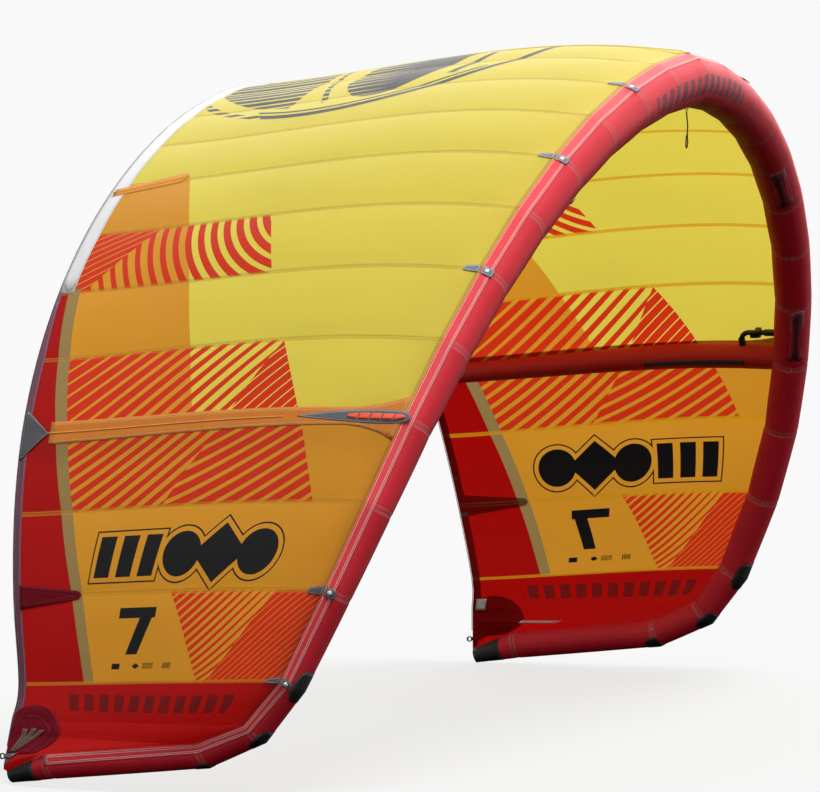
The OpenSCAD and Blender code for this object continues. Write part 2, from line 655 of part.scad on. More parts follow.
module clip_lever() {
    plate_z = KNUCKLE_R - LEVER_T;
    color(BLACK) translate(clip_mid + clip_pin) {
        hinge_knuckle(KNUCKLE_R + 4, LEVER_T);
        translate([KNUCKLE_R + 2, -clip_side / 2 + 2, plate_z]) cube([CLIP_L + 6, clip_side - 4, LEVER_T]);
    }
}

// ---- Zips in the casing ----
ZIP_BAYS = [4, 7];
ZIP_ANGLE = 242;
// Where in its bay a zip's middle lies
ZIP_MID = 0.42;
ZIP_HALF = 9;
ZIP_END = 20;
function zip_from(b) = b + ZIP_MID - (zip_travel / 2 + ZIP_END) / bay_at(b);
function zip_to(b) = b + ZIP_MID + (zip_travel / 2 + ZIP_END) / bay_at(b);

module zips() {
    for (side = [0, 1]) mirror([side, 0, 0]) for (b = ZIP_BAYS) {
        ends = [zip_from(b), zip_to(b)];
        color(BLACK) on_tube(ends, [for (k = [-1, 0, 1]) ZIP_ANGLE + k * ZIP_HALF], [0.5, 1.4]);
        color(GREY) rod(route_rings([for (x = ends) tube_point(x, ZIP_ANGLE, 2.8)], 1.2, 8));
    }
}

SLIDER = [9, 12, 3.6];
module zip_slider(b) {
    start = b + ZIP_MID - zip_travel / 2 / bay_at(b);
    p = tube_point(start, ZIP_ANGLE, 4.4);
    along = unit(tube_point(b + 1, ZIP_ANGLE, 4.4) - tube_point(b, ZIP_ANGLE, 4.4));
    out = unit(p - mix(AXIS[b], AXIS[b + 1], start - b));
    color(GREY) stand(p, cross(along, cross(out, along)), along) {
        translate([0, 0, SLIDER[2] / 2]) cube([SLIDER[1], SLIDER[0], SLIDER[2]], center = true);
        translate([-22, -2.5, SLIDER[2]]) cube([24, 5, 1.2]);
    }
}

// ---- Pump leash ----
EYE_R = 3.2;
EYE_WALL = 2.4;
EYE_T = 3;
eye_z = -(tube_r_mid + EYE_R + EYE_WALL + 0.4);
leash_top = [0, 0, eye_z - EYE_R - EYE_WALL - 0.3];
// The cord's points below the eye: a stem, then a loop that ends beside the stem
LEASH = [[0, 0, -2], [1, 0, -14], [3, -1, -32], [4, -2, -48], [3, -1, -62], [9, 1, -74], [14, 2, -88],
         [12, 2, -102], [2, 1, -110], [-8, -1, -102], [-10, -2, -88], [-6, -2, -75], [-3, -5, -66]];

module leash_eye() {
    color(BLACK) translate([-EYE_T / 2, 0, eye_z]) rotate([0, 90, 0]) ring(EYE_R + EYE_WALL, EYE_R, EYE_T);
}

module pump_leash() {
    color(BLACK) rod(route_rings([for (p = LEASH) leash_top + p], leash_r, 8));
}

le_casing_centre();
mirror([1, 0, 0]) le_casing(2, 5);  // le_casing_shoulder_l
le_casing(2, 5);  // le_casing_shoulder_r
mirror([1, 0, 0]) le_casing(5, 8);  // le_casing_quarter_l
le_casing(5, 8);  // le_casing_quarter_r
mirror([1, 0, 0]) le_casing(8, 11);  // le_casing_outer_l
le_casing(8, 11);  // le_casing_outer_r
mirror([1, 0, 0]) le_casing(11, 13);  // le_casing_tip_l
le_casing(11, 13);  // le_casing_tip_r
mirror([1, 0, 0]) le_casing(13, 15);  // le_casing_end_l
le_casing(13, 15);  // le_casing_end_r
le_bladder();
mirror([1, 0, 0]) scuff_bands();  // scuff_bands_l
scuff_bands();  // scuff_bands_r
mirror([1, 0, 0]) tip_sleeve();  // tip_sleeve_l
tip_sleeve();  // tip_sleeve_r
strut_casing(0);  // centre_strut_casing
mirror([1, 0, 0]) strut_casing(STRUT_JOINT);  // quarter_strut_casing_l
strut_casing(STRUT_JOINT);  // quarter_strut_casing_r
strut_bladders();
strut_caps();
fairing(0);  // centre_fairing
fairing(-STRUT_JOINT);  // quarter_fairing_l
fairing(STRUT_JOINT);  // quarter_fairing_r
bumper_bases();
bumpers();  // strut_bumpers
canopy_centre();
mirror([1, 0, 0]) canopy(4, 8, YELLOW);  // canopy_mid_l
canopy(4, 8, YELLOW);  // canopy_mid_r
mirror([1, 0, 0]) canopy(8, 11, AMBER);  // canopy_outer_l
canopy(8, 11, AMBER);  // canopy_outer_r
mirror([1, 0, 0]) canopy(11, 15, RED);  // canopy_tip_l
canopy(11, 15, RED);  // canopy_tip_r
te_band_centre();
mirror([1, 0, 0]) te_band(6, 11, 0.965);  // te_band_l
te_band(6, 11, 0.965);  // te_band_r
te_patches();
tip_patches();
steering_loops();
tabs();  // webbing_tabs
battens();
batten_pockets();
leech_line();
care_labels();
valve_body();
valve_cap();
hoses();  // one_pump_hoses
hose_fittings();
clip_frames();
at_hose(0) clip_lever();  // clip_lever_c
mirror([1, 0, 0]) at_hose(STRUT_JOINT) clip_lever();  // clip_lever_l
at_hose(STRUT_JOINT) clip_lever();  // clip_lever_r
zips();
mirror([1, 0, 0]) zip_slider(ZIP_BAYS[0]);  // zip_slider_shoulder_l
zip_slider(ZIP_BAYS[0]);  // zip_slider_shoulder_r
mirror([1, 0, 0]) zip_slider(ZIP_BAYS[1]);  // zip_slider_quarter_l
zip_slider(ZIP_BAYS[1]);  // zip_slider_quarter_r
leash_eye();
pump_leash();
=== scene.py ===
import math
import bmesh
import bpy
import numpy as np
from mathutils import Matrix, Vector


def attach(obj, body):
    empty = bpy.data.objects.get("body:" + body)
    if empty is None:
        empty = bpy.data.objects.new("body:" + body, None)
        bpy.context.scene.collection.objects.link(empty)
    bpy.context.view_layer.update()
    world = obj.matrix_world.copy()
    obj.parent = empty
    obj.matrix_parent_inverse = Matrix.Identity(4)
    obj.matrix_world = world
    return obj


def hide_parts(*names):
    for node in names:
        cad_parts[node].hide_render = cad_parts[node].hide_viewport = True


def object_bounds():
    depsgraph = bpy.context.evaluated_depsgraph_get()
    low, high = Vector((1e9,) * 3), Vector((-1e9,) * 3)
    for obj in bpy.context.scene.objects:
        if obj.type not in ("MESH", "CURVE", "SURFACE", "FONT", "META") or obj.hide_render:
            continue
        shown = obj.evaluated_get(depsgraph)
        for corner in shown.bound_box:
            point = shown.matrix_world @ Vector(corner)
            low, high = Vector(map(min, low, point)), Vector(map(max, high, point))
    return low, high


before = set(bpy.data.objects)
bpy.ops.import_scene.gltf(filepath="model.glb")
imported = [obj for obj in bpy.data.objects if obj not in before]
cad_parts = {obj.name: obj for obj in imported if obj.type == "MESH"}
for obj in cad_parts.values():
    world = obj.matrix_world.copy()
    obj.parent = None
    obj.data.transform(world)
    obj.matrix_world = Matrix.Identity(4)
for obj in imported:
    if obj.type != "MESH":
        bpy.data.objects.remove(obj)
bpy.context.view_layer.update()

MM = 0.001
ROOT = "kite"

# ---- camera
AZIMUTH, ELEVATION = math.radians(-67.14), math.radians(4.07)
CAMERA_PLACE = (-20.447, -7.734, 0.622)
LENS = 324.8
back = Vector((math.sin(AZIMUTH) * math.cos(ELEVATION), -math.cos(AZIMUTH) * math.cos(ELEVATION),
               math.sin(ELEVATION)))
right = Vector((math.cos(AZIMUTH), math.sin(AZIMUTH), 0))
up = back.cross(right)
camera = bpy.data.objects.new("camera", bpy.data.cameras.new("camera"))
camera.data.sensor_width = 36
camera.data.lens = LENS
camera.data.clip_end = 1000
camera.matrix_world = Matrix.Translation(CAMERA_PLACE) @ Matrix((right, up, back)).transposed().to_4x4()
bpy.context.scene.collection.objects.link(camera)
bpy.context.scene.camera = camera


# ---- the kite's shape, in mm, as the CAD source has it
JOINTS = 15
TUBE_R, TIP_R, END_R = 76, 42, 21
ROOT_CHORD = 1450
SEW_LIFT = 2.2
# The sewn line stands further off the tube by the tip, where the panel turns round its end
TIP_SEW_LIFT = 4.5
X_HAT = np.array([1.0, 0.0, 0.0])
Y_HAT = np.array([0.0, 1.0, 0.0])


def unit(v):
    return v / np.linalg.norm(v, axis=-1, keepdims=True)


def sind(a):
    return np.sin(np.radians(a))


def cosd(a):
    return np.cos(np.radians(a))


def bay(j):
    return 222 + 4.2 * (j - 1) if j <= 10 else (275, 171, 173, 487, 141)[j - 11]


def turn(s):
    return 116 * (0.8 * s + 0.2 * s * s)


def sweep(j):
    return 20 * j / 15 + 17.5 * (j / 15) ** 3 if j < 10 else (20, 24.5, 37.5, 65, 83, 72)[j - 10]


def bay_dir(j):
    sw, tu = sweep(j), turn(j / JOINTS)
    return np.array([cosd(sw) * cosd(tu), sind(sw), -cosd(sw) * sind(tu)])


AXIS = np.cumsum([np.zeros(3)] + [bay(j) * bay_dir(j) for j in range(1, JOINTS + 1)], axis=0)
ALONG = np.array([X_HAT] + [unit(bay_dir(j) + bay_dir(j + 1)) for j in range(1, JOINTS)] + [bay_dir(JOINTS)])
TURN_AT = np.array([0] + [(turn((j - 1) / JOINTS) + turn(j / JOINTS)) / 2 for j in range(1, JOINTS + 1)])
OUT = np.stack([sind(TURN_AT), 0 * TURN_AT, cosd(TURN_AT)], -1)
SPAN = np.stack([cosd(TURN_AT), 0 * TURN_AT, -sind(TURN_AT)], -1)
FRONT = unit(np.cross(ALONG, OUT))
TOP = np.cross(FRONT, ALONG)
RADIUS = np.array([TIP_R + (TUBE_R - TIP_R) * (1 - j / JOINTS) ** 1.2 for j in range(JOINTS)] + [END_R])


def at_joint(j, angle, h):
    return AXIS[j] + (RADIUS[j] + h) * (sind(angle) * TOP[j] - cosd(angle) * FRONT[j])


SEW_ANGLE = [90] * 12 + [72, 54, 36, 36]
SEWN = np.array([at_joint(j, SEW_ANGLE[j], SEW_LIFT + (TIP_SEW_LIFT if j in (13, 14) else 0))
                 for j in range(JOINTS + 1)])


def inner_edge(j):
    s = j / JOINTS
    chord, dip = ROOT_CHORD - 195 * s + 670 * s * s - 2000 * s ** 3, 1.5 + 8.5 * s * s
    return AXIS[j] + chord * (cosd(dip) * Y_HAT - sind(dip) * OUT[j]) + 75 * s ** 3 * SPAN[j]


CORNER = SEWN[JOINTS] + np.array([0, 12, 6])
REAR = np.array([inner_edge(j) for j in range(12)] +
                [inner_edge(11) * (1 - t) + CORNER * t for t in (0.42, 0.6, 0.85, 1)])
CHORD = np.linalg.norm(REAR - SEWN, axis=1)
CAMBER = (0.035 - 0.013 * np.arange(JOINTS + 1) / JOINTS) * CHORD
MIRROR = np.array([-1.0, 1.0, 1.0])


def mirror_if(left, p):
    """Points turned over to the left side wherever left is true."""
    return np.where(np.asarray(left)[..., None], p * MIRROR, p)


def curve_weights(p0, p1, p2, p3, t):
    """A smooth curve from p1 to p2, with the points before and after them."""
    return 0.5 * (2 * p1 + (p2 - p0) * t + (2 * p0 - 5 * p1 + 4 * p2 - p3) * t ** 2 +
                  (3 * p1 - p0 - 3 * p2 + p3) * t ** 3)


def grid(first, second):
    return np.meshgrid(first, second, indexing="ij")


def unit_grid(rows, cols):
    """One coordinate from 0 to 1 down the rows, and one from -1 to 1 across the columns."""
    return grid(np.linspace(0, 1, rows), np.linspace(-1, 1, cols))


def run_along(path):
    """Distance along a path of points from its first one."""
    return np.concatenate([[0], np.cumsum(np.linalg.norm(np.diff(path, axis=0), axis=1))])


def around(centre, radius, angle, up_dir, side):
    """Rings about centre points: angle 0 lies toward side, 90 toward up_dir."""
    angle = angle[None, :, None]
    return centre[:, None] + radius[:, None, None] * (sind(angle) * up_dir[:, None] + cosd(angle) * side[:, None])


def smooth(a, b, t):
    t = np.clip((t - a) / (b - a), 0, 1)
    return t * t * (3 - 2 * t)


def tube(x, angle, h=0.0):
    """Points on the leading edge: x counts joints, the left side is negative.

    Angle 0 is the rear, 90 the top."""
    x, angle, h = np.broadcast_arrays(np.asarray(x, float), np.asarray(angle, float), np.asarray(h, float))
    a = np.abs(x)
    j = np.minimum(a.astype(int), JOINTS - 1)
    t = (a - j)[..., None]

    def ring(k):
        radius = (RADIUS[k] + h)[..., None]
        return AXIS[k] + radius * (sind(angle)[..., None] * TOP[k] - cosd(angle)[..., None] * FRONT[k])

    p = ring(j) * (1 - t) + ring(j + 1) * t
    return mirror_if(x < 0, p)


def bay_len(x):
    a = np.abs(np.asarray(x, float))
    j = np.minimum(a.astype(int), JOINTS - 1)
    return np.linalg.norm(AXIS[j + 1] - AXIS[j], axis=-1)


NOSE = 0.1
NOSE_LIFT = 5.0


def chord_curve(j, v):
    """The canopy's section at joint j, an array of joints from -1 up; v runs from the front to the rear."""
    k = np.clip(np.abs(j), 0, JOINTS)
    v = v[..., None]
    nose = NOSE_LIFT * np.clip(1 - v / NOSE, 0, 1) ** 2
    p = SEWN[k] * (1 - v) + REAR[k] * v + (CAMBER[k][..., None] * 6.75 * v * (1 - v) ** 2 + nose) * OUT[k]
    return mirror_if(j < 0, p)


def cloth_base(x, v):
    """The smooth canopy surface: straight between the joints at the tube, rounded between them further back."""
    a = np.abs(x)
    j = np.minimum(a.astype(int), JOINTS - 1)
    t = (a - j)[..., None]
    p0, p1, p2 = chord_curve(j - 1, v), chord_curve(j, v), chord_curve(j + 1, v)
    p3 = np.where((j + 2 > JOINTS)[..., None], 2 * p2 - p1, chord_curve(np.minimum(j + 2, JOINTS), v))
    curved = curve_weights(p0, p1, p2, p3, t)
    reach = 0.12 + 0.3 * smooth(10, 11.5, a)
    w = smooth(0, 1, v / reach)[..., None]
    p = (p1 * (1 - t) + p2 * t) * (1 - w) + curved * w
    return mirror_if(x < 0, p)


def normals(x, v):
    dx, dv = 0.04, 0.008
    x0 = np.clip(x, -JOINTS + dx, JOINTS - dx)
    v0 = np.clip(v, dv, 1 - dv)
    return unit(np.cross(cloth_base(x0 + dx, v0) - cloth_base(x0 - dx, v0),
                         cloth_base(x0, v0 + dv) - cloth_base(x0, v0 - dv)))


def cloth(x, v, h=0.0):
    """The canopy with its panels' billow; h lifts a point along the outward normal."""
    x, v, h = np.broadcast_arrays(np.asarray(x, float), np.asarray(v, float), np.asarray(h, float))
    f = np.abs(x) % 1.0
    puff = 4 * f * (1 - f)
    ends = smooth(0.0, 0.08, v) * (1 - smooth(0.93, 1.0, v))
    billow = 4.5 * puff * ends * (1 - 0.6 * smooth(9, 12, np.abs(x)))
    # Small puckers where the cloth gathers at the leading edge
    pucker = 0.9 * np.sin(2 * np.pi * 9 * np.abs(x)) * np.exp(-((v - 0.035) / 0.03) ** 2)
    pucker = pucker * (0.4 + 0.6 * np.sin(5.3 * x) ** 2)
    return cloth_base(x, v) + (h + billow + pucker)[..., None] * normals(x, v)


# ---- meshes
def make_object(name, points, faces, mat, uv, facts, stands_for=()):
    """A smooth piece on the kite, from points in mm, with its weave coordinates and named facts."""
    mesh = bpy.data.meshes.new(name)
    mesh.from_pydata([tuple(p) for p in np.asarray(points) * MM], [], [tuple(int(i) for i in f) for f in faces])
    mesh.update()
    layer = mesh.uv_layers.new(name="weave")
    loops = np.empty(len(mesh.loops), int)
    mesh.loops.foreach_get("vertex_index", loops)
    layer.data.foreach_set("uv", (np.asarray(uv) * MM)[loops].astype(np.float32).ravel())
    for key, values in facts.items():
        made = mesh.attributes.new(key, "FLOAT_VECTOR", "POINT")
        made.data.foreach_set("vector", np.asarray(values, np.float32).ravel())
    mesh.polygons.foreach_set("use_smooth", [True] * len(mesh.polygons))
    obj = bpy.data.objects.new(name, mesh)
    bpy.context.scene.collection.objects.link(obj)
    mesh.materials.append(mat)
    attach(obj, ROOT)
    if stands_for:
        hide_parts(*stands_for)
    return obj


def quads(rows, cols, wrap=False):
    cells = []
    for r in range(rows - 1):
        for c in range(cols if wrap else cols - 1):
            a, b = r * cols + c, r * cols + (c + 1) % cols
            cells.append((a, b, b + cols, a + cols))
    return cells


def tube_faces(rows, cols):
    """The faces of a closed tube of that many rings, with a cap on each end."""
    return quads(rows, cols, wrap=True) + [tuple(range((rows - 1) * cols, rows * cols)), tuple(range(cols))[::-1]]


def run_lengths(points):
    """Distance along the rows (axis 0) and columns (axis 1) of a grid of points."""
    du = np.linalg.norm(np.diff(points, axis=0), axis=-1).mean(axis=1)
    dv = np.linalg.norm(np.diff(points, axis=1), axis=-1)
    u = np.concatenate([[0], np.cumsum(du)])[:, None] + 0 * points[..., 0]
    v = np.concatenate([np.zeros((len(points), 1)), np.cumsum(dv, axis=1)], axis=1)
    return u, v


def edge_distance(points):
    rim = np.concatenate([points[0], points[-1], points[:, 0], points[:, -1]])
    flat = points.reshape(-1, 3)
    near = np.sqrt(((flat[:, None, :] - rim[None, :, :]) ** 2).sum(-1)).min(1)
    return near.reshape(points.shape[:2])


def merge_parts(parts):
    points, faces, uvs, edges = [], [], [], []
    for p, f, uv, edge in parts:
        base = sum(len(q) for q in points)
        points.append(p)
        faces += [tuple(i + base for i in q) for q in f]
        uvs.append(uv)
        edges.append(edge)
    return np.concatenate(points), faces, np.concatenate(uvs), np.concatenate(edges)


def slab_part(low, high):
    """A thin closed solid between two matching grids, with its weave coordinates and distance to the rim."""
    rows, cols = low.shape[:2]
    n = rows * cols
    u, v = run_lengths(high)
    uv = np.stack([u.ravel(), v.ravel()], -1)
    edge = edge_distance(high).ravel()
    facts = np.stack([edge, edge, edge], -1) * MM
    rim = list(range(cols)) + [r * cols + cols - 1 for r in range(1, rows)]
    rim += [(rows - 1) * cols + c for c in range(cols - 2, -1, -1)]
    rim += [r * cols for r in range(rows - 2, 0, -1)]
    faces = [tuple(n + i for i in q) for q in quads(rows, cols)] + [q[::-1] for q in quads(rows, cols)]
    faces += [(a, b, n + b, n + a)[::-1] for a, b in zip(rim, rim[1:] + rim[:1])]
    points = np.concatenate([low.reshape(-1, 3), high.reshape(-1, 3)])
    return points, faces, np.tile(uv, (2, 1)), np.tile(facts, (2, 1))


def rounding(t, share, least=0.02):
    """How wide a rounded end is at t, where it takes up that share of the length."""
    return np.sqrt(np.clip(1 - np.clip(1 - t / share, 0, 1) ** 2, least, 1))


def both(part, *facts):
    """That part on the left and on the right."""
    return [part(side, *facts) for side in (-1, 1)]


def patch_on_cloth(x, v, low, high):
    return slab_part(cloth(x, v, low), cloth(x, v, high))


def patch_on_tube(x, angle, low, high):
    return slab_part(tube(x, angle, low), tube(x, angle, high))


def build(name, parts, mat, slot, *stands_for):
    """One piece from several closed parts; it may stand for CAD nodes."""
    points, faces, uv, facts = merge_parts(parts)
    obj = make_object(name, points, faces, mat, uv, {"edge": facts}, stands_for)
    fix_normals(obj.data)
    return obj


def fix_normals(mesh):
    work = bmesh.new()
    work.from_mesh(mesh)
    bmesh.ops.recalc_face_normals(work, faces=work.faces)
    work.to_mesh(mesh)
    work.free()


def round_rod(path, radius, sides=10):
    """A closed round rod along a path of points, radius a number or one for each point."""
    path = np.asarray(path, float)
    radius = np.broadcast_to(radius, len(path))
    d = unit(np.gradient(path, axis=0))
    ref = unit(np.cross(d, np.array([0.31, 0.12, 0.94])))
    side = unit(np.cross(d, ref))
    angle = np.arange(sides) * 2 * np.pi / sides
    turn_x, turn_y = np.cos(angle)[None, :, None], np.sin(angle)[None, :, None]
    rings = path[:, None] + radius[:, None, None] * (turn_x * ref[:, None] + turn_y * side[:, None])
    n = len(path)
    uv = np.stack(np.broadcast_arrays(run_along(path)[:, None], (angle * 2)[None, :]), -1).reshape(-1, 2)
    return rings.reshape(-1, 3), tube_faces(n, sides), uv, np.full((n * sides, 3), 1.0)


# ---- materials
def linear(color):
    """Linear colour from a display colour of 0 to 255 values."""
    return tuple((c / 255 / 12.92) if c <= 10 else (((c / 255) + 0.055) / 1.055) ** 2.4 for c in color) + (1.0,)


def feed(item, socket):
    """Links a Value or a socket to that input, or sets it to a number or a display colour."""
    if isinstance(item, Value):
        item = item.socket
    if isinstance(item, bpy.types.NodeSocket):
        socket.id_data.links.new(item, socket)
    else:
        socket.default_value = linear(item) if isinstance(item, tuple) else item


class Value:
    """A float socket with arithmetic that adds Math nodes."""

    def __init__(self, tree, socket):
        self.tree, self.socket = tree, socket

    def op(self, kind, *others, swap=False):
        node = self.tree.nodes.new("ShaderNodeMath")
        node.operation = kind
        inputs = [self, *others]
        if swap:
            inputs[:2] = inputs[1::-1]
        for slot_in, item in zip(node.inputs, inputs):
            feed(item, slot_in)
        return Value(self.tree, node.outputs[0])

    def __add__(self, o): return self.op("ADD", o)
    def __radd__(self, o): return self.op("ADD", o)
    def __sub__(self, o): return self.op("SUBTRACT", o)
    def __rsub__(self, o): return self.op("SUBTRACT", o, swap=True)
    def __mul__(self, o): return self.op("MULTIPLY", o)
    def __rmul__(self, o): return self.op("MULTIPLY", o)
    def __truediv__(self, o): return self.op("DIVIDE", o)
    def __pow__(self, o): return self.op("POWER", o)
    def __gt__(self, o): return self.op("GREATER_THAN", o)
    def __lt__(self, o): return self.op("LESS_THAN", o)
    def abs(self): return self.op("ABSOLUTE")
    def frac(self): return self.op("FRACT")
    def sin(self): return self.op("SINE")
    def sqrt(self): return self.op("SQRT")
    def low(self, o): return self.op("MINIMUM", o)
    def high(self, o): return self.op("MAXIMUM", o)

    def step(self, a, b):
        """0 below a, 1 above b, smooth between them; a may be above b to turn it round."""
        node = self.tree.nodes.new("ShaderNodeMapRange")
        node.interpolation_type = "SMOOTHSTEP"
        low, high, out0, out1 = (a, b, 0.0, 1.0) if a < b else (b, a, 1.0, 0.0)
        for key, value in (("From Min", low), ("From Max", high), ("To Min", out0), ("To Max", out1)):
            node.inputs[key].default_value = value
        feed(self, node.inputs["Value"])
        return Value(self.tree, node.outputs["Result"])


def within(value, low, high):
    return (value > low) * (value < high)


class Paint:
    """A material under construction, with short words for the nodes used here."""

    def __init__(self, name, color, rough, **sockets):
        self.mat = bpy.data.materials.new(name)
        self.mat.use_nodes = True
        self.tree = self.mat.node_tree
        self.shader = self.tree.nodes["Principled BSDF"]
        self.color = color
        feed(color, self.shader.inputs["Base Color"])
        self.shader.inputs["Roughness"].default_value = rough
        for key, value in sockets.items():
            self.shader.inputs[key.replace("_", " ")].default_value = value
        self.place = self.tree.nodes.new("ShaderNodeTexCoord").outputs["Object"]
        weave_map = self.tree.nodes.new("ShaderNodeUVMap")
        weave_map.uv_map = "weave"
        self.weave = weave_map.outputs[0]

    def split(self, socket):
        node = self.tree.nodes.new("ShaderNodeSeparateXYZ")
        feed(socket, node.inputs[0])
        return [Value(self.tree, s) for s in node.outputs]

    def fact(self, name):
        node = self.tree.nodes.new("ShaderNodeAttribute")
        node.attribute_name = name
        return self.split(node.outputs["Vector"])

    def noise(self, scale, detail, vector=None, stretch=None):
        node = self.tree.nodes.new("ShaderNodeTexNoise")
        node.inputs["Scale"].default_value = scale
        node.inputs["Detail"].default_value = detail
        vector = vector or self.place
        if stretch:
            mapping = self.tree.nodes.new("ShaderNodeMapping")
            mapping.inputs["Scale"].default_value = stretch
            feed(vector, mapping.inputs["Vector"])
            vector = mapping.outputs[0]
        feed(vector, node.inputs["Vector"])
        return Value(self.tree, node.outputs["Fac"])

    def mix(self, factor, a, b, blend="MIX"):
        node = self.tree.nodes.new("ShaderNodeMix")
        node.data_type = "RGBA"
        node.blend_type = blend
        feed(factor, node.inputs["Factor"])
        for value, socket in zip((a, b), [s for s in node.inputs if s.type == "RGBA"]):
            feed(value, socket)
        return [s for s in node.outputs if s.type == "RGBA"][0]

    def tint(self, factor, color):
        """Lays color over what the base colour is so far."""
        self.color = self.mix(factor, self.color, color)
        feed(self.color, self.shader.inputs["Base Color"])

    def shade(self, factor, amount):
        """Darkens the colour where factor is 1, to 1 - amount of itself."""
        self.color = self.mix(factor, self.color, [1 - amount] * 3 + [1], "MULTIPLY")
        feed(self.color, self.shader.inputs["Base Color"])

    def bump(self, height, distance, strength=1.0):
        node = self.tree.nodes.new("ShaderNodeBump")
        node.inputs["Strength"].default_value = strength
        node.inputs["Distance"].default_value = distance
        feed(height, node.inputs["Height"])
        normal = self.shader.inputs["Normal"]
        if normal.links:
            feed(normal.links[0].from_socket, node.inputs["Normal"])
        feed(node.outputs[0], normal)

    def see_through(self, amount, color):
        """Mixes in light that comes through the cloth from behind."""
        glow = self.tree.nodes.new("ShaderNodeBsdfTranslucent")
        feed(color, glow.inputs["Color"])
        mixer = self.tree.nodes.new("ShaderNodeMixShader")
        feed(amount, mixer.inputs[0])
        feed(self.shader.outputs[0], mixer.inputs[1])
        feed(glow.outputs[0], mixer.inputs[2])
        feed(mixer.outputs[0], self.tree.nodes["Material Output"].inputs["Surface"])


WEAVE_PITCH = 0.0012


def add_weave(paint, depth, strength=0.6):
    """The relief of a plain weave."""
    u, v = paint.split(paint.weave)[:2]
    threads = (u * (2 * math.pi / WEAVE_PITCH)).sin() * (v * (2 * math.pi / WEAVE_PITCH)).sin()
    paint.bump(threads, depth, strength)


THREAD_WIDTH, STITCH_PITCH, STITCH_SHARE = 0.0009, 0.0042, 0.68


def stitch_mask(distance, offset, run):
    """Dashes of thread along a line at that offset from an edge."""
    line = ((distance - offset).abs()).step(THREAD_WIDTH * 1.3, THREAD_WIDTH * 0.6)
    return line * ((run / STITCH_PITCH).frac() < STITCH_SHARE)


def cloth_paint(name, color, rough, thread=None, rows=(0.004,), through=0.0, **sockets):
    """Woven cloth for a sewn-on piece, with stitched edges and painted shade in the stitch grooves."""
    p = Paint(name, color, rough, **sockets)
    u, v = p.split(p.weave)[:2]
    p.shade(p.noise(14, 3), 0.16)
    p.shade(p.noise(420, 2), 0.08)
    add_weave(p, 0.0002)
    edge = p.fact("edge")[0]
    if thread:
        for offset in rows:
            mask = stitch_mask(edge, offset, u + v)
            shaded_groove = ((edge - offset).abs()).step(0.003, 0.0)
            # Painted shade in the groove that each stitch row pulls into the cloth; the bump below presses the same
            # band in
            p.shade(shaded_groove, 0.18)
            p.tint(mask, thread)
            p.bump(mask - 1.5 * shaded_groove, 0.0006, 0.7)
    p.bump(p.noise(35, 3), 0.0015, 0.35)
    if through:
        p.see_through(through, p.color)
    return p.mat


YELLOW = (240, 222, 84)
AMBER = (232, 160, 44)
RED = (182, 10, 7)
STRIPE = (226, 56, 26)
BLACK = (26, 25, 26)
SILVER = (228, 228, 230)
TAUPE = (166, 138, 84)
MAUVE = (120, 66, 84)
CRIMSON = (150, 3, 34)
DACRON = (212, 24, 44)
GREY = (112, 114, 120)
ORANGE = (226, 132, 22)
THREAD = (225, 205, 200)


def ellipse(x, v, cx, cv, rx, rv):
    return (((x - cx) / rx) ** 2 + ((v - cv) / rv) ** 2).sqrt()


def mixed(mask, a, b):
    return mask * a + (1.0 - mask) * b


def arcs(a, v, centre_v, centre_a, chord, bay_width, period, duty):
    """Stripes on circles about a centre, with the chord and a bay in metres; duty is the printed share."""
    reach = (((v - centre_v) * chord) ** 2 + ((a - centre_a) * bay_width) ** 2).sqrt()
    return (reach / period).frac() < duty


def straight(a, v, angle, chord, bay_width, period, duty):
    """Straight stripes that rise toward the leading edge at that angle."""
    across = v * (chord * math.sin(math.radians(angle))) - a * (bay_width * math.cos(math.radians(angle)))
    return (across / period).frac() < duty


def slanted(u, w, cu, half, height, slant):
    """Distance-like field of a leaning bar: below 0 inside, in metres."""
    return ((u - cu - w * slant).abs() - half).high(w.abs() - height)


def disc_field(u, w, cu, radius):
    return (((u - cu) ** 2) + (w * 0.92) ** 2).sqrt() - radius


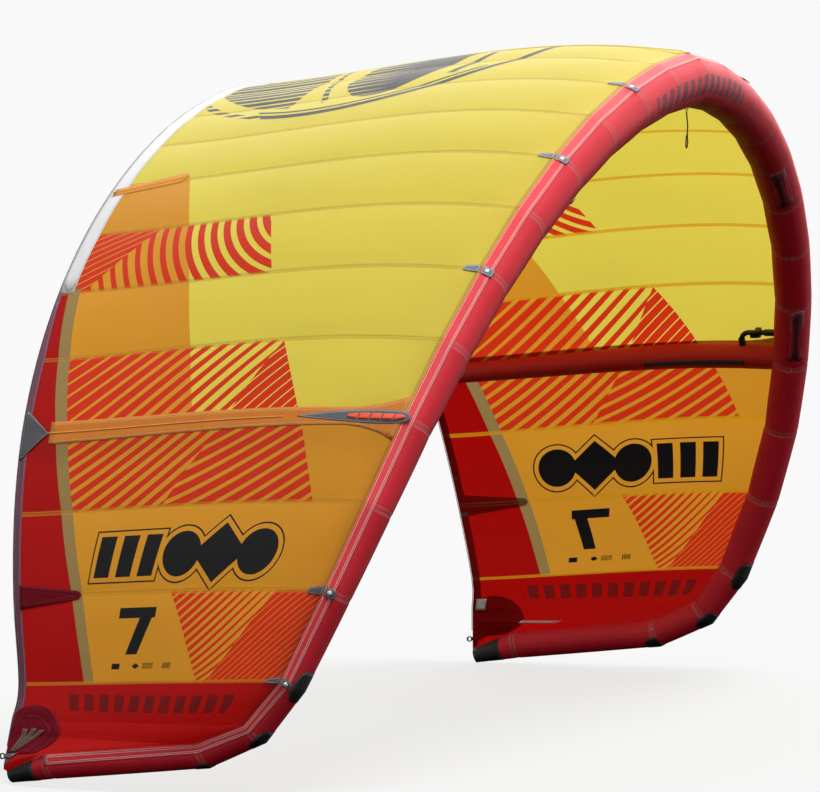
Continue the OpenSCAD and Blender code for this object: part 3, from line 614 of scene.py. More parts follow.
def canopy_paint():
    p = Paint("canopy_cloth", YELLOW, 0.5, Specular_IOR_Level=0.22)
    x, v, bay_width = p.fact("plan")
    a = x.abs()
    side = (x > 0.0) * 2.0 - 1.0
    # Panels of dyed cloth
    amber = within(a, 4.0, 8.0) * (v > 0.822 - (a - 4.05) * 0.072)
    amber = amber.high(within(a, 8.0, 11.0))
    p.tint(amber, AMBER)
    over = a - 6.0
    outer = 0.977 - over * 0.0255 - over * over * 0.0042
    inner = outer - 0.028 - over * 0.002
    # Printed stripes, families of arcs and straight lines in each bay that has them
    fine_left = v > 0.816 + (a - 5.0) * 0.121
    first = arcs(a, v, 0.405, 4.6, 1.385, 0.24, 0.0395, 0.92 - v * 0.58)
    first = mixed(fine_left, straight(a, v, 31, 1.385, 0.24, 0.026, 0.84), first)
    first = first * within(a, 5.0, 6.0) * (v > 0.559 - (a - 5.0) * 0.077)
    fine_right = v < 0.373 + (a - 7.0) * 0.083
    second = arcs(a, v, 1.71, 1.4, 1.27, 0.247, 0.040, 0.04 + v * 0.86)
    second = mixed(fine_right, straight(a, v, 46, 1.27, 0.247, 0.0304, 0.86), second)
    second = second * within(a, 7.0, 8.0) * (v > 0.376 - (a - 7.0) * 0.1175)
    swing = v < 0.448 + (a - 8.0) * 0.12
    third = mixed(swing, arcs(a, v, 0.916, 4.12, 1.19, 0.2514, 0.037, 0.66),
                  arcs(a, v, 1.53, 3.14, 1.19, 0.2514, 0.035, 0.32 + v * 0.36))
    third = third * within(a, 8.0, 9.0) * (v > 0.256 - (a - 8.0) * 0.116)
    dense = v < 0.145 + (a - 10.0) * 0.132
    fourth = arcs(a, v, 0.95, 7.87, 0.98, 0.26, 0.0226, 0.02 + v * 1.5)
    fourth = mixed(dense, straight(a, v, 49, 0.98, 0.26, 0.018, 0.88), fourth)
    fourth = fourth * within(a, 10.0, 11.0) * (v < 0.479 - (a - 10.0) * 0.169)
    p.tint(first.high(second).high(third).high(fourth), STRIPE)
    # Band and wedge along the trailing edge
    in_wedge = within(a, 6.0, 11.0) * (v > outer)
    red = in_wedge.high(a > 11.0)
    p.tint(red, RED)
    band = within(a, 5.94, 11.0) * (v > inner) * (v < outer)
    p.tint(band, TAUPE)
    # A plain mark of bars, discs and a diamond with a line round it, and the size numeral in the next bay
    u = (v - 0.46) * side * -1.09
    w = (a - 9.57) * 0.258
    mark = disc_field(u, w, 0.012, 0.062).low(disc_field(u, w, -0.238, 0.062))
    mark = mark.low((((u + 0.113).abs() + w.abs()) - 0.088) * 0.71)
    for bar_u in (0.272, 0.196, 0.120):
        mark = mark.low(slanted(u, w, bar_u, 0.026, 0.062, 0.12))
    ink = within(a, 9.0, 10.0) * ((mark < 0.0).high(within(mark, 0.0135, 0.018)))
    q = (v - 0.576) * side
    bar = within(q, -0.062, 0.062) * within(a, 10.16, 10.27)
    stem = within(q - (0.041 - (a - 10.16) * 0.09), -0.021, 0.021) * within(a, 10.16, 10.65)
    ink = ink.high(bar.high(stem))
    small = within(a, 10.75, 10.82)
    signs = within(v, 0.615, 0.645).high(((v - 0.555).abs() / 0.014 + (a - 10.785).abs() / 0.035) < 1.0)
    signs = signs.high(within(v, 0.49, 0.53) * ((a * 60.0).frac() < 0.5))
    signs = signs.high(within(v, 0.425, 0.455) * ((v * 160.0).frac() < 0.6))
    ink = ink.high(small * signs)
    # Large oval of lines on the top, round a disc that breaks up into lines toward the rear
    e = ellipse(a, v, 0.0, 0.66, 2.62, 0.40)
    disc = ellipse(a, v, 0.0, 0.56, 2.15, 0.125)
    lines = ((a + 0.03) / 0.19).frac()
    broken = (v > 0.78) * (lines < 0.45)
    oval = within(e, 0.955, 1.0) * (1.0 - broken)
    oval = oval.high(within(e, 0.91, 0.932) * (v < 0.8) * (v > 0.35))
    solid = (v < 0.53).high(lines > (v - 0.53) * 2.4)
    oval = oval.high((disc < 1.0) * solid * (v < 0.655))
    oval = oval.high(within(disc, 1.30, 1.42) * within(a, 0.4, 1.55) * (v < 0.52))
    oval = oval.high(within(disc, 1.22, 1.30) * (v > 0.66) * (lines > 0.3))
    oval = oval.high(within(disc, 1.95, 4.0) * (v < 0.47) * (a < 0.75) * (e < 0.82))
    oval = oval.high((v > 0.735) * (e < 0.86) * (lines > 0.22 + (0.98 - v) * 0.4))
    ink = ink.high(oval * (v < 0.962))
    p.tint(ink, BLACK)
    # Worn row of leaning bars on the tip panel
    row = within(a - (v - 0.46) * -0.11, 11.24, 11.66) * within(v, 0.12, 0.8)
    bars = (((v + (a - 11.4) * 0.06) / 0.062).frac() < 0.62) * row
    p.tint(bars * (0.35 + 0.5 * p.noise(60, 3)), BLACK)
    # Seams: a double layer of cloth with a row of stitches on each side
    u_m, v_m = p.split(p.weave)[:2]
    to_seam = ((a - 0.5).frac() - 0.5).abs() * bay_width
    seam_here = 1.0 - (a > 11.5)
    lap = (to_seam.step(0.0075, 0.0062)) * seam_here
    p.shade(lap, 0.12)
    # Painted shade: a darker line on the cloth just behind the leading edge, where the canopy meets the tube and
    # its flap
    p.shade(((v - 0.005).abs()).step(0.006, 0.0), 0.3)
    zigzag = (((v_m / 0.005).frac() - 0.5).abs() * 0.0045 + 0.0035)
    stitch = ((to_seam - zigzag).abs()).step(0.0011, 0.0006) * seam_here
    p.tint(stitch * 0.7, (190, 150, 60))
    p.shade(p.noise(3.0, 3), 0.10)
    p.shade(p.noise(260, 2), 0.07)
    # Ripstop grid, fine creases, gathers by the seams
    ripstop = [((run / 0.0055).frac() - 0.5).abs().step(0.42, 0.5) for run in (u_m, v_m)]
    ripstop = ripstop[0].high(ripstop[1])
    p.shade(ripstop, 0.05)
    p.bump(ripstop, 0.0003, 0.35)
    p.bump(p.noise(9, 3, stretch=(1.0, 0.25, 1.0)), 0.02, 0.16)
    p.bump(p.noise(60, 2, p.weave, stretch=(1.0, 0.12, 1.0)) * to_seam.step(0.06, 0.0), 0.004, 0.35)
    p.bump(lap, 0.0008, 0.6)
    behind = p.mix(lap * 0.75, p.color, (226, 160, 16))
    p.see_through(0.42 - 0.22 * ink, behind)
    return p.mat


def dacron_paint(name, color, mark=False):
    """The tubes' heavy cloth. The ring fact is joint coordinate, angle and distance to the nearest seam."""
    p = Paint(name, color, 0.55, Specular_IOR_Level=0.35)
    x, angle, to_seam = p.fact("ring")
    v = p.split(p.weave)[1]
    p.shade(p.noise(5, 3), 0.16)
    p.shade(p.noise(300, 2), 0.08)
    if mark:
        row = within(x, -1.75, 1.45) * within(angle, 163.0, 208.0)
        lean = (x + (angle - 185.0) * 0.0022) / 0.23
        solid = (lean.frac() < 0.62) * row
        p.tint(solid * (0.55 + 0.4 * p.noise(40, 3)), (48, 34, 44))
    threads = stitch_mask(to_seam, 0.0035, v).high(stitch_mask(to_seam, 0.0085, v))
    p.shade(to_seam.step(0.012, 0.0), 0.14)
    p.tint(threads * 0.35, THREAD)
    p.bump(threads, 0.0006, 0.7)
    p.bump(to_seam.step(0.012, 0.0105), 0.0008, 0.7)
    add_weave(p, 0.00025, 0.5)
    p.bump(p.noise(26, 3) * to_seam.step(0.12, 0.0), 0.006, 0.35)
    p.bump(p.noise(7, 3), 0.02, 0.15)
    return p.mat


def plain_paint(name, color, rough, grain=500, depth=0.0002, **sockets):
    """Moulded plastic, rubber or metal with a fine grain."""
    p = Paint(name, color, rough, **sockets)
    p.shade(p.noise(20, 3), 0.1)
    p.shade(p.noise(grain, 2), 0.1)
    p.bump(p.noise(grain, 3), depth, 0.5)
    return p.mat


M_CANOPY = canopy_paint()
M_TUBE = dacron_paint("leading_edge_dacron", DACRON, mark=True)
M_STRUT = dacron_paint("strut_dacron", (200, 26, 14))
M_FLAP = cloth_paint("flap_dacron", (228, 40, 52), 0.5, THREAD, rows=(0.004, 0.009))
M_INNER = cloth_paint("inner_flap_cloth", (214, 84, 26), 0.55, through=0.3)
M_BLACK_CLOTH = cloth_paint("black_scuff_cloth", BLACK, 0.55, (90, 90, 95))
M_GREY_TAB = cloth_paint("grey_webbing", GREY, 0.6, (205, 206, 210), rows=(0.003,))
M_DARK_TAB = cloth_paint("dark_webbing", (70, 70, 76), 0.6, (150, 150, 156), rows=(0.003,))
M_BASE = cloth_paint("bumper_base_cloth", (86, 88, 94), 0.6, (170, 172, 176), rows=(0.003,))
M_FAIRING = cloth_paint("fairing_cloth", ORANGE, 0.5, (245, 190, 120), rows=(0.004, 0.009), through=0.25)
M_CENTRE_STRIP = cloth_paint("centre_strip_cloth", YELLOW, 0.5, (200, 170, 60), through=0.3,
                             Specular_IOR_Level=0.22)
M_ZIP_CLOTH = cloth_paint("zip_patch_dacron", (150, 20, 38), 0.55, (225, 150, 150), rows=(0.004, 0.01))
M_ZIP_TAPE = cloth_paint("zip_tape_cloth", (96, 12, 26), 0.6, (150, 60, 70), rows=(0.003,))
M_PIPING = cloth_paint("piping_cloth", (244, 160, 84), 0.5)
M_SILVER = cloth_paint("silver_band_cloth", SILVER, 0.4, (150, 150, 152), through=0.2)
M_HEM = cloth_paint("mauve_hem_cloth", MAUVE, 0.5, (160, 120, 140), through=0.25)
M_CRIMSON = cloth_paint("crimson_patch_cloth", CRIMSON, 0.55, (150, 50, 70), rows=(0.004, 0.014), through=0.5,
                        Specular_IOR_Level=0.2)
M_POCKET = cloth_paint("batten_pocket_cloth", (240, 160, 50), 0.5, (190, 130, 60), rows=(0.003,), through=0.3)
M_LABEL = cloth_paint("label_cloth", (225, 222, 216), 0.6, (170, 170, 170), rows=(0.003,))
M_RUBBER = plain_paint("orange_rubber", (232, 84, 48), 0.55)
M_PLASTIC = plain_paint("black_plastic", (30, 30, 32), 0.38)
M_HOSE = plain_paint("black_rubber", (24, 24, 26), 0.6)
M_METAL = plain_paint("slider_metal", (120, 120, 124), 0.35, Metallic=0.8)
M_RIVET = plain_paint("rivet_metal", (215, 215, 215), 0.3, Metallic=0.5)
M_CORD = plain_paint("black_cord", (40, 40, 42), 0.7, grain=900, depth=0.0006)
M_ROD = plain_paint("grey_batten", (120, 110, 100), 0.4)
M_BLADDER = plain_paint("bladder_film", (225, 228, 235), 0.25)


# ---- leading edge and its bands
SIDES = 56


def ring_angles(n=SIDES):
    return np.arange(n) * 360 / n


def tube_skin():
    cuts = []
    for j in range(JOINTS):
        length = bay(j + 1)
        near = [0, 4 / length, 9 / length, 20 / length]
        cuts += [j + t for t in near] + [j + 0.35, j + 0.65] + [j + 1 - t for t in near[:0:-1]]
    cuts.append(float(JOINTS))
    x = np.array([-c for c in cuts[:0:-1]] + cuts)
    gx, ga = grid(x, ring_angles())
    f = np.abs(gx) - np.floor(np.abs(gx))
    to_seam = np.minimum(f, 1 - f) * bay_len(np.clip(gx, -14.999, 14.999))
    swell = 0.9 * np.sin(np.pi * f) - 1.3 * np.exp(-(to_seam / 6) ** 2)
    fold = 0.7 * np.sin(np.radians(ga) * 17 + 3 * np.floor(np.abs(gx) + 0.5))
    fold = fold * np.exp(-(to_seam / 30) ** 2) * np.clip(-sind(ga), 0, 1)
    points = tube(gx, ga, swell + fold - 0.3)
    rows, cols = gx.shape
    radius = np.interp(np.abs(gx), np.arange(JOINTS + 1), RADIUS)
    run = run_along(tube(x, 180))[:, None] + 0 * gx
    uv = np.stack([run, np.radians(ga) * np.round(radius / 4) * 4], -1).reshape(-1, 2)
    ring = np.stack([gx, ga, to_seam * MM], -1).reshape(-1, 3)
    return points.reshape(-1, 3), tube_faces(rows, cols), uv, ring


pts, faces, uv, ring = tube_skin()
leading_edge = make_object("leading_edge_casing", pts, faces, M_TUBE, uv, {"ring": ring},
                           [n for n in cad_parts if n.startswith("le_casing")])
fix_normals(leading_edge.data)

# Flap of heavy cloth from the tube's front up to the canopy, and the seam flap behind the tube
FLAP_ANGLE = 121


def bay_stations(first, last, inside):
    """Joint coordinates from first to last with extra ones in each bay."""
    cuts = [float(first)]
    for j in range(first, last):
        cuts += [j + t for t in inside] + [j + 1.0]
    return np.array(cuts)


def front_flap():
    x = bay_stations(-14, 14, (0.04, 0.25, 0.5, 0.75, 0.96))
    gx, gs = grid(x, np.linspace(0, 1, 9))
    turn_over = np.interp(np.abs(gx), [0, 11, 12, 13, 15], [0, 0, 18, 36, 50])
    from_angle = FLAP_ANGLE - turn_over
    start = tube(gx, from_angle, 1.0)
    tangent = unit(tube(gx, from_angle - 1, 1.0) - start)
    end = cloth(gx, np.full_like(gx, 0.004), 0.8)
    reach = np.linalg.norm(end - start, axis=-1, keepdims=True)
    mid = start + tangent * reach * 0.55
    gs = gs[..., None]
    top = start * (1 - gs) ** 2 + 2 * mid * gs * (1 - gs) + end * gs ** 2
    across = unit(np.cross(np.gradient(top, axis=0), np.gradient(top, axis=1)))
    return slab_part(top - 0.7 * across, top)


build("leading_edge_flap", [front_flap()], M_FLAP, "red_dacron")


def rear_flap():
    x = bay_stations(-13, 13, (0.05, 0.5, 0.95))
    gx, gs = grid(x, np.linspace(0, 1, 7))
    angle = np.interp(np.abs(gx), [0, 10, 11, 13], [38, 38, 34, 10])
    start = tube(gx, angle, 0.8)
    end = cloth(gx, 0.022 + 0 * gx, -1.2)
    gs = gs[..., None]
    curve = start * (1 - gs) + end * gs
    sag = tube(gx, angle, 6.0) - start
    curve = curve + sag * np.sin(np.pi * gs) * 0.6
    across = unit(np.cross(np.gradient(curve, axis=0), np.gradient(curve, axis=1)))
    return slab_part(curve, curve + 0.6 * across)


build("leading_edge_inner_flap", [rear_flap()], M_INNER, "orange_dacron")


def scuff_band(side, j):
    gx, gs = grid(side * (j + np.linspace(-36, 36, 9) / bay_len(j)), np.linspace(-1, 1, 15))
    rounded = np.sqrt(np.clip(1 - (np.abs(gx - side * j) * bay_len(j) / 44) ** 2.5, 0.02, 1))
    return patch_on_tube(gx, 190 + gs * 62 * rounded, 0.3, 1.4)


for side, name in ((-1, "l"), (1, "r")):
    build("scuff_pads_" + name, [scuff_band(side, j) for j in (11, 12, 13)], M_BLACK_CLOTH, "black_dacron",
          "scuff_bands_" + name)


def tip_sock(side):
    x = np.concatenate([np.linspace(14.35, 14.96, 7), [15.0]])
    gx, ga = grid(side * x, np.linspace(0, 360, 41))
    return patch_on_tube(gx, ga, 0.4, 1.6)


def tip_cap(side):
    angle = ring_angles(40)
    rims = []
    for inset, out in ((-0.2, 0.0), (0.0, 1.6), (-3.0, 2.9), (-12.0, 3.2)):
        rims.append(tube(side * 15.0 + 0 * angle, angle, 1.6 + inset) + out * mirror_if(side < 0, ALONG[15]))
    points = np.concatenate(rims)
    return points, tube_faces(4, 40), points[:, 1:3], np.full((len(points), 3), 0.02)


for side, name in ((-1, "l"), (1, "r")):
    build("tip_sleeve_cloth_" + name, [tip_sock(side), tip_cap(side)], M_BLACK_CLOTH, "black_dacron",
          "tip_sleeve_" + name)


# ---- canopy
def canopy_sheet():
    inside = np.array([0.025, 0.12, 0.25, 0.38, 0.5, 0.62, 0.75, 0.88, 0.975])
    x = bay_stations(-JOINTS, JOINTS, inside)
    v = np.concatenate([np.linspace(0, 0.12, 13), np.linspace(0.14, 1, 44)])
    gx, gv = grid(x, v)
    points = cloth(gx, gv, 0.5)
    span = run_along(points[:, len(v) // 2])
    chord = run_lengths(points)[1]
    uv = np.stack([span[:, None] + 0 * gx, chord], -1).reshape(-1, 2)
    near = np.floor(np.abs(gx) + 0.5)
    inner_j = np.clip(near - 0.5, 0, JOINTS - 1.0)
    width = np.linalg.norm(cloth_base(inner_j + 0.45, gv) - cloth_base(inner_j - 0.45, gv), axis=-1) / 0.9
    plan = np.stack([gx, gv, width * MM], -1).reshape(-1, 3)
    return points.reshape(-1, 3), quads(len(x), len(v)), uv, plan


pts, faces, uv, plan = canopy_sheet()
canopy = make_object("canopy", pts, faces, M_CANOPY, uv, {"plan": plan},
                     [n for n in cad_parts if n.startswith("canopy_")])


def chord_at(x):
    return np.interp(np.abs(x), np.arange(JOINTS + 1), CHORD)


def rear_strip(x, half, cuts):
    """A band along the trailing edge at those joint coordinates, half its half width in mm."""
    gx, gs = grid(x, np.linspace(-1, 1, cuts))
    share = (half / chord_at(x))[:, None]
    return patch_on_cloth(gx, np.clip(1 - share + gs * share, 0, 1), 0.9, 1.6)


x_mid = bay_stations(-6, 6, (0.25, 0.5, 0.75))
build("trailing_edge_band", [rear_strip(x_mid, 24 + 0 * x_mid, 7)], M_SILVER, "pale_dacron", "te_band_centre")


def hem(side):
    x = bay_stations(6, 15, (0.25, 0.5, 0.75))[:-1]
    return [rear_strip(side * x, np.interp(x, [6, 7, 14, 15], [5, 12, 13, 8]), 5)]


for side, name in ((-1, "l"), (1, "r")):
    build("trailing_edge_hem_" + name, hem(side), M_HEM, "pale_dacron", "te_band_" + name)

line_x = np.linspace(-13.5, 13.5, 217)
leech_path = cloth(line_x, 1.0) + np.array([0, 2.2, 0])
build("leech_cord", [round_rod(leech_path, 1.1, 8)], M_CORD, "black_cord", "leech_line")


# ---- struts
STRUT_JOINTS = {"centre": 0, "quarter_l": -8, "quarter_r": 8}
STRUT_END = 0.985
STRUT_CAP = STRUT_END - 60 / ROOT_CHORD
STRUT_R, STRUT_END_R = 44, 30


def strut_radius(v):
    return STRUT_R * (1 - v) + STRUT_END_R * v


def strut_frame(j, v):
    """Centre line, up and side directions of the strut under joint j."""
    x = np.full_like(v, float(j))
    up_dir = normals(x, np.clip(v, 0.015, 0.985))
    centre = cloth_base(x, v) - (strut_radius(v) + 1.5)[:, None] * up_dir
    side = unit(cloth_base(x + 0.05, v) - cloth_base(x - 0.05, v))
    return centre, up_dir, side


def strut_rings(j, v, h=0.0, n=44):
    centre, up_dir, side = strut_frame(j, v)
    return around(centre, strut_radius(v) + h, ring_angles(n), up_dir, side)


def strut_skin(j, n=44):
    v = np.concatenate([np.linspace(0.1, 0.94, 43), np.linspace(0.945, STRUT_END, 4)])
    rings = strut_rings(j, v, 0.0, n)
    # The front rim runs on until it meets the leading edge's tube
    k = abs(j)
    along, axis = mirror_if(j < 0, ALONG[k]), mirror_if(j < 0, AXIS[k])
    start = rings[0]
    step = unit(start - strut_rings(j, np.array([0.13]), 0.0, n)[0])
    w = start - axis
    wp, dp = w - (w @ along)[:, None] * along, step - (step @ along)[:, None] * along
    a2, b2 = (dp * dp).sum(1), 2 * (wp * dp).sum(1)
    c2 = (wp * wp).sum(1) - (RADIUS[k] - 1.0) ** 2
    root = np.sqrt(np.maximum(b2 * b2 - 4 * a2 * c2, 0))
    front = start + step * ((-b2 - root) / (2 * a2))[:, None]
    blend = np.array([0.0, 0.08, 0.3, 0.6])[:, None, None]
    lead = front[None] * (1 - blend) + start[None] * blend
    rings = np.concatenate([lead, rings])
    rows = len(rings)
    run, angle = run_along(rings[:, n // 4])[:, None], ring_angles(n)[None, :]
    uv = np.stack(np.broadcast_arrays(run, np.radians(angle) * 38), -1).reshape(-1, 2)
    ring = np.stack(np.broadcast_arrays(20.0, angle, run * MM + 0.004), -1).reshape(-1, 3)
    return rings.reshape(-1, 3), tube_faces(rows, n)[:-1], uv, ring


def strut_node(name, kind):
    """The CAD node of that kind on the strut: quarter_l and casing give quarter_casing_l."""
    first, _, last = name.partition("_")
    return "_".join([first, kind] + [last] * bool(last))


for name, j in STRUT_JOINTS.items():
    pts, faces, uv, ring = strut_skin(j)
    strut = make_object(name + "_strut", pts, faces, M_STRUT, uv, {"ring": ring},
                        [strut_node(name, "strut_casing")])
    fix_normals(strut.data)


def strut_end_cap(j, n=44):
    v = np.array([STRUT_CAP, STRUT_CAP + 0.001, 0.965, STRUT_END])
    rings = strut_rings(j, v, np.array([0.0, 1.4, 1.4, 1.4]), n)
    end = rings[-1]
    back_dir = unit(strut_frame(j, np.array([STRUT_END]))[0] - strut_frame(j, np.array([0.9]))[0])[0]
    centre = end.mean(0)
    profile = ((0.97, 3), (0.85, 6), (0.6, 8), (0.25, 9))
    domes = [centre + (end - centre) * share + back_dir * reach for share, reach in profile]
    rings = np.concatenate([rings, domes])
    rows = len(rings)
    row, angle = np.arange(rows)[:, None], ring_angles(n)[None, :]
    uv = np.stack(np.broadcast_arrays(row * 15.0, angle), -1).reshape(-1, 2)
    edge = np.clip(row * 4.0, 0, 30) + 0 * angle
    return rings.reshape(-1, 3), tube_faces(rows, n), uv, np.repeat(edge.reshape(-1, 1), 3, 1) * MM


build("strut_end_caps", [strut_end_cap(j) for j in STRUT_JOINTS.values()], M_BLACK_CLOTH, "black_dacron",
      "strut_caps")


def strut_underside(j):
    """Black zip tape along the front part of a strut's underside."""
    v = np.linspace(0.12, 0.40, 24)
    centre, up_dir, side = strut_frame(j, v)
    angle = 270 + np.linspace(-1, 1, 5) * 11
    return slab_part(*[around(centre, strut_radius(v) + h, angle, up_dir, side) for h in (0.4, 1.2)])


build("strut_zip_tapes", [strut_underside(j) for j in STRUT_JOINTS.values()], M_BLACK_CLOTH, "zip_tape")


def crowned_strip(j, v, half, low, high, crown):
    """A strip on the canopy over joint j, half its half width in mm at each v, crown higher in the middle."""
    gv, gs = grid(v, np.linspace(-1, 1, 9))
    gx = j + gs * (half / bay_len(abs(j) - 0.5))[:, None]
    return slab_part(cloth(gx, gv, low)[:, ::-1], cloth(gx, gv, high + crown * (1 - gs ** 2))[:, ::-1])


def fairing_part(j):
    v = np.linspace(0.003, 0.925, 60)
    half = 25 + 12 * v + (46 if j else 14) * np.clip(1 - v / 0.15, 0, 1) ** 2
    return crowned_strip(j, v, half, 0.7, 1.4, 1.1)


def piping_part(j):
    v = np.linspace(0.3 if j else 0.01, 0.93, 60)
    return round_rod(cloth(np.full_like(v, j), v, 3.4), 1.8, 8)


for name, j in STRUT_JOINTS.items():
    build(strut_node(name, "strut_strip"), [fairing_part(j)], M_FAIRING if j else M_CENTRE_STRIP,
          "orange_dacron", strut_node(name, "fairing"))
    build(name + "_piping", [piping_part(j)], M_PIPING if j else M_CENTRE_STRIP, "orange_dacron")


def teardrop(j):
    t = np.linspace(0, 1, 40)
    half = 20 * np.clip(np.sin(np.pi * t ** 0.5), 0, 1) ** 0.75 + 1.0
    return crowned_strip(j, -0.018 + 0.28 * t, half, 2.4, 3.4, 1.4)


build("bumper_base_cloths", [teardrop(-8), teardrop(8)], M_BASE, "grey_webbing", "bumper_bases")


BUMPER_PITCH, BUMPER_LENGTH, BUMPER_HALF = 0.029, 0.027, 9.5


def bumper_part(j, index):
    """One moulded segment: a rounded box that follows the strut, the end ones tapering off."""
    gt, gs = unit_grid(13, 13)
    v = -0.006 + index * BUMPER_PITCH + BUMPER_LENGTH * gt
    width = np.ones_like(gt)
    if index == 0:
        width = rounding(gt, 1, 0.03)
    if index == 4:
        width = 1 - 0.55 * gt
    x = j + gs * BUMPER_HALF * width / bay_len(abs(j) - 0.5)
    dome = np.sqrt(np.clip(1 - gs ** 4, 0, 1)) * np.sqrt(np.clip(1 - np.abs(2 * gt - 1) ** 10, 0, 1))
    return slab_part(cloth(x, v, 4.4)[:, ::-1], cloth(x, v, 4.6 + 4.6 * dome)[:, ::-1])


build("rubber_bumpers", [bumper_part(j, k) for j in (-8, 8) for k in range(5)], M_RUBBER, "orange_rubber",
      "strut_bumpers")


# ---- patches, tabs, battens
def triangle_patch(side):
    gt, gs = unit_grid(12, 9)
    x = side * (8 + gs * 0.34 * (0.03 + 0.97 * gt))
    return patch_on_cloth(x, 0.93 + 0.068 * gt, 3.2, 4.2)


def drop_patch(side):
    gt, gs = unit_grid(26, 9)
    half = (0.045 + 0.10 * gt) * rounding(gt, 0.06)
    return patch_on_cloth(side * (10 + gs * half), 0.775 + 0.205 * gt, 1.8, 2.6)


def corner_patch(side, grow, low, high):
    """The D-shaped doubling by the tip's rear corner."""
    gt, gs = unit_grid(26, 15)
    x = 11.45 + grow * 0.35 + (13.9 - 11.45 - grow * 0.35) * gt
    half_mm = (92 - 26 * grow) * rounding(gt, 0.35, 0.01)
    v = 0.92 - 0.055 * gt + gs * half_mm / chord_at(x)
    return patch_on_cloth(side * x, np.clip(v, 0.05, 0.995), low, high)


build("strut_tail_patches", both(triangle_patch), M_DARK_TAB, "dark_patch", "te_patches")
build("rear_drop_patches", both(drop_patch), M_CRIMSON, "dark_patch")
build("tip_corner_patches", both(corner_patch, 0, 1.8, 2.5), M_CRIMSON, "dark_patch", "tip_patches")
build("tip_corner_inner_patches", both(corner_patch, 1, 2.8, 3.4), M_CRIMSON, "dark_patch")

LEG_HALF = 9


def webbing_leg(side, x0, v0, x1, v1):
    gt, gs = unit_grid(12, 4)
    x = x0 + (x1 - x0) * gt
    v = v0 + (v1 - v0) * gt + gs * LEG_HALF / chord_at(x)
    return patch_on_cloth(side * x, np.clip(v, 0.02, 1), 3.8, 5.2)


LEG_ENDS = ((12.5, 0.93, 13.8, 0.90), (12.55, 0.845, 13.8, 0.87), (12.45, 0.885, 13.8, 0.885))
M_OLIVE = cloth_paint("olive_webbing", (92, 62, 48), 0.7, (140, 110, 90), rows=(0.003,))
build("tip_webbing_legs", [webbing_leg(s, *ends) for s in (-1, 1) for ends in LEG_ENDS], M_OLIVE, "black_webbing")


def tab_parts(side, j):
    reach = 50 / CHORD[j]
    gt, gs = unit_grid(16, 7)
    half = 13 * (1 - 0.45 * gt ** 1.5) * rounding(1 - gt, 0.14)
    x = side * (j + gs * half / bay_len(j - 0.5))
    finger = patch_on_cloth(x, 0.002 + reach * gt, 2.0, 3.2)
    ga, gs = grid(np.linspace(92, 124, 9), np.linspace(-1, 1, 7))
    lift = 3.2 + 2.2 * np.sin(np.pi * np.clip((124 - ga) / 50, 0, 1))
    x = side * (j + gs * 13 / bay_len(j - 0.5))
    return [finger, patch_on_tube(x, ga, lift, lift + 1.2)]


tab_list = [(s, j) for s in (-1, 1) for j in (2, 4, 6, 10, 11)]
light_tabs = [part for s, j in tab_list if j < 8 for part in tab_parts(s, j)]
dark_tabs = [part for s, j in tab_list if j > 8 for part in tab_parts(s, j)]
build("webbing_tabs_light", light_tabs, M_GREY_TAB, "grey_webbing", "webbing_tabs")
build("webbing_tabs_dark", dark_tabs, M_DARK_TAB, "grey_webbing")


def rivet_part(side, j):
    turn_deg = np.arange(16) * 22.5
    rings = []
    for radius, lift in ((6.5, 5.0), (6.5, 6.6), (5.2, 7.4), (2.5, 7.9)):
        x = side * j + side * radius * cosd(turn_deg) / bay_len(j - 0.5)
        angle = 106 + np.degrees(radius * sind(turn_deg) / RADIUS[j])
        rings.append(tube(x, angle, lift))
    points = np.concatenate(rings)
    return points, tube_faces(4, 16), points[:, 1:3], np.full((len(points), 3), 1.0)


build("tab_rivets", [rivet_part(s, j) for s, j in tab_list], M_RIVET, "slider_metal")

BATTEN_X, BATTEN_START, BATTEN_SLOPE = 3.96, 0.845, 1.4


def batten_x(v):
    return BATTEN_X + (v - BATTEN_START) * BATTEN_SLOPE


def batten_part(side):
    v = np.linspace(BATTEN_START, 0.992, 12)
    return round_rod(cloth(side * batten_x(v), v, 3.0), 2.0, 8)


def pocket_part(side):
    gt, gs = unit_grid(16, 11)
    v = 0.832 + 0.16 * gt
    x = batten_x(v) + gs * (20 + 4 * (1 - gt)) / 235 * rounding(gt, 0.08)
    hump = 4.4 * np.exp(-(gs / 0.22) ** 2)
    return patch_on_cloth(side * x, v, 1.2, 1.9 + hump)


build("batten_rods", both(batten_part), M_ROD, "grey_plastic", "battens")
build("batten_pocket_cloths", both(pocket_part), M_POCKET, "amber_canopy", "batten_pockets")


def label_part(x0, x1, v0, v1):
    gx, gv = grid(np.linspace(x0, x1, 5), np.linspace(v0, v1, 6))
    return patch_on_cloth(gx, gv, -2.2, -1.4)


labels = [label_part(11.55, 12.05, 0.945, 0.985), label_part(12.9, 13.05, 0.55, 0.75)]
build("care_label_cloths", labels, M_LABEL, "white_label", "care_labels")


# ---- pump leash, a free cord
LEASH_TOP = np.array([0, 0, -87.9])
LEASH = np.array([[0, 0, -2], [1, 0, -14], [3, -1, -32], [4, -2, -48], [3, -1, -62], [9, 1, -74], [14, 2, -88],
                  [12, 2, -102], [2, 1, -110], [-8, -1, -102], [-10, -2, -88], [-6, -2, -75], [-3, -5, -66]], float)


def smooth_path(points, cuts=4):
    padded = np.concatenate([[2 * points[0] - points[1]], points, [2 * points[-1] - points[-2]]])
    made = []
    for i in range(1, len(padded) - 2):
        p0, p1, p2, p3 = padded[i - 1:i + 3]
        for t in np.arange(cuts) / cuts:
            made.append(curve_weights(p0, p1, p2, p3, t))
    return np.array(made + [points[-1]])


leash_path = smooth_path(LEASH + LEASH_TOP)
leash = build("pump_leash_cord", [round_rod(leash_path, 2.0, 12)], M_CORD, "black_cord", "pump_leash")


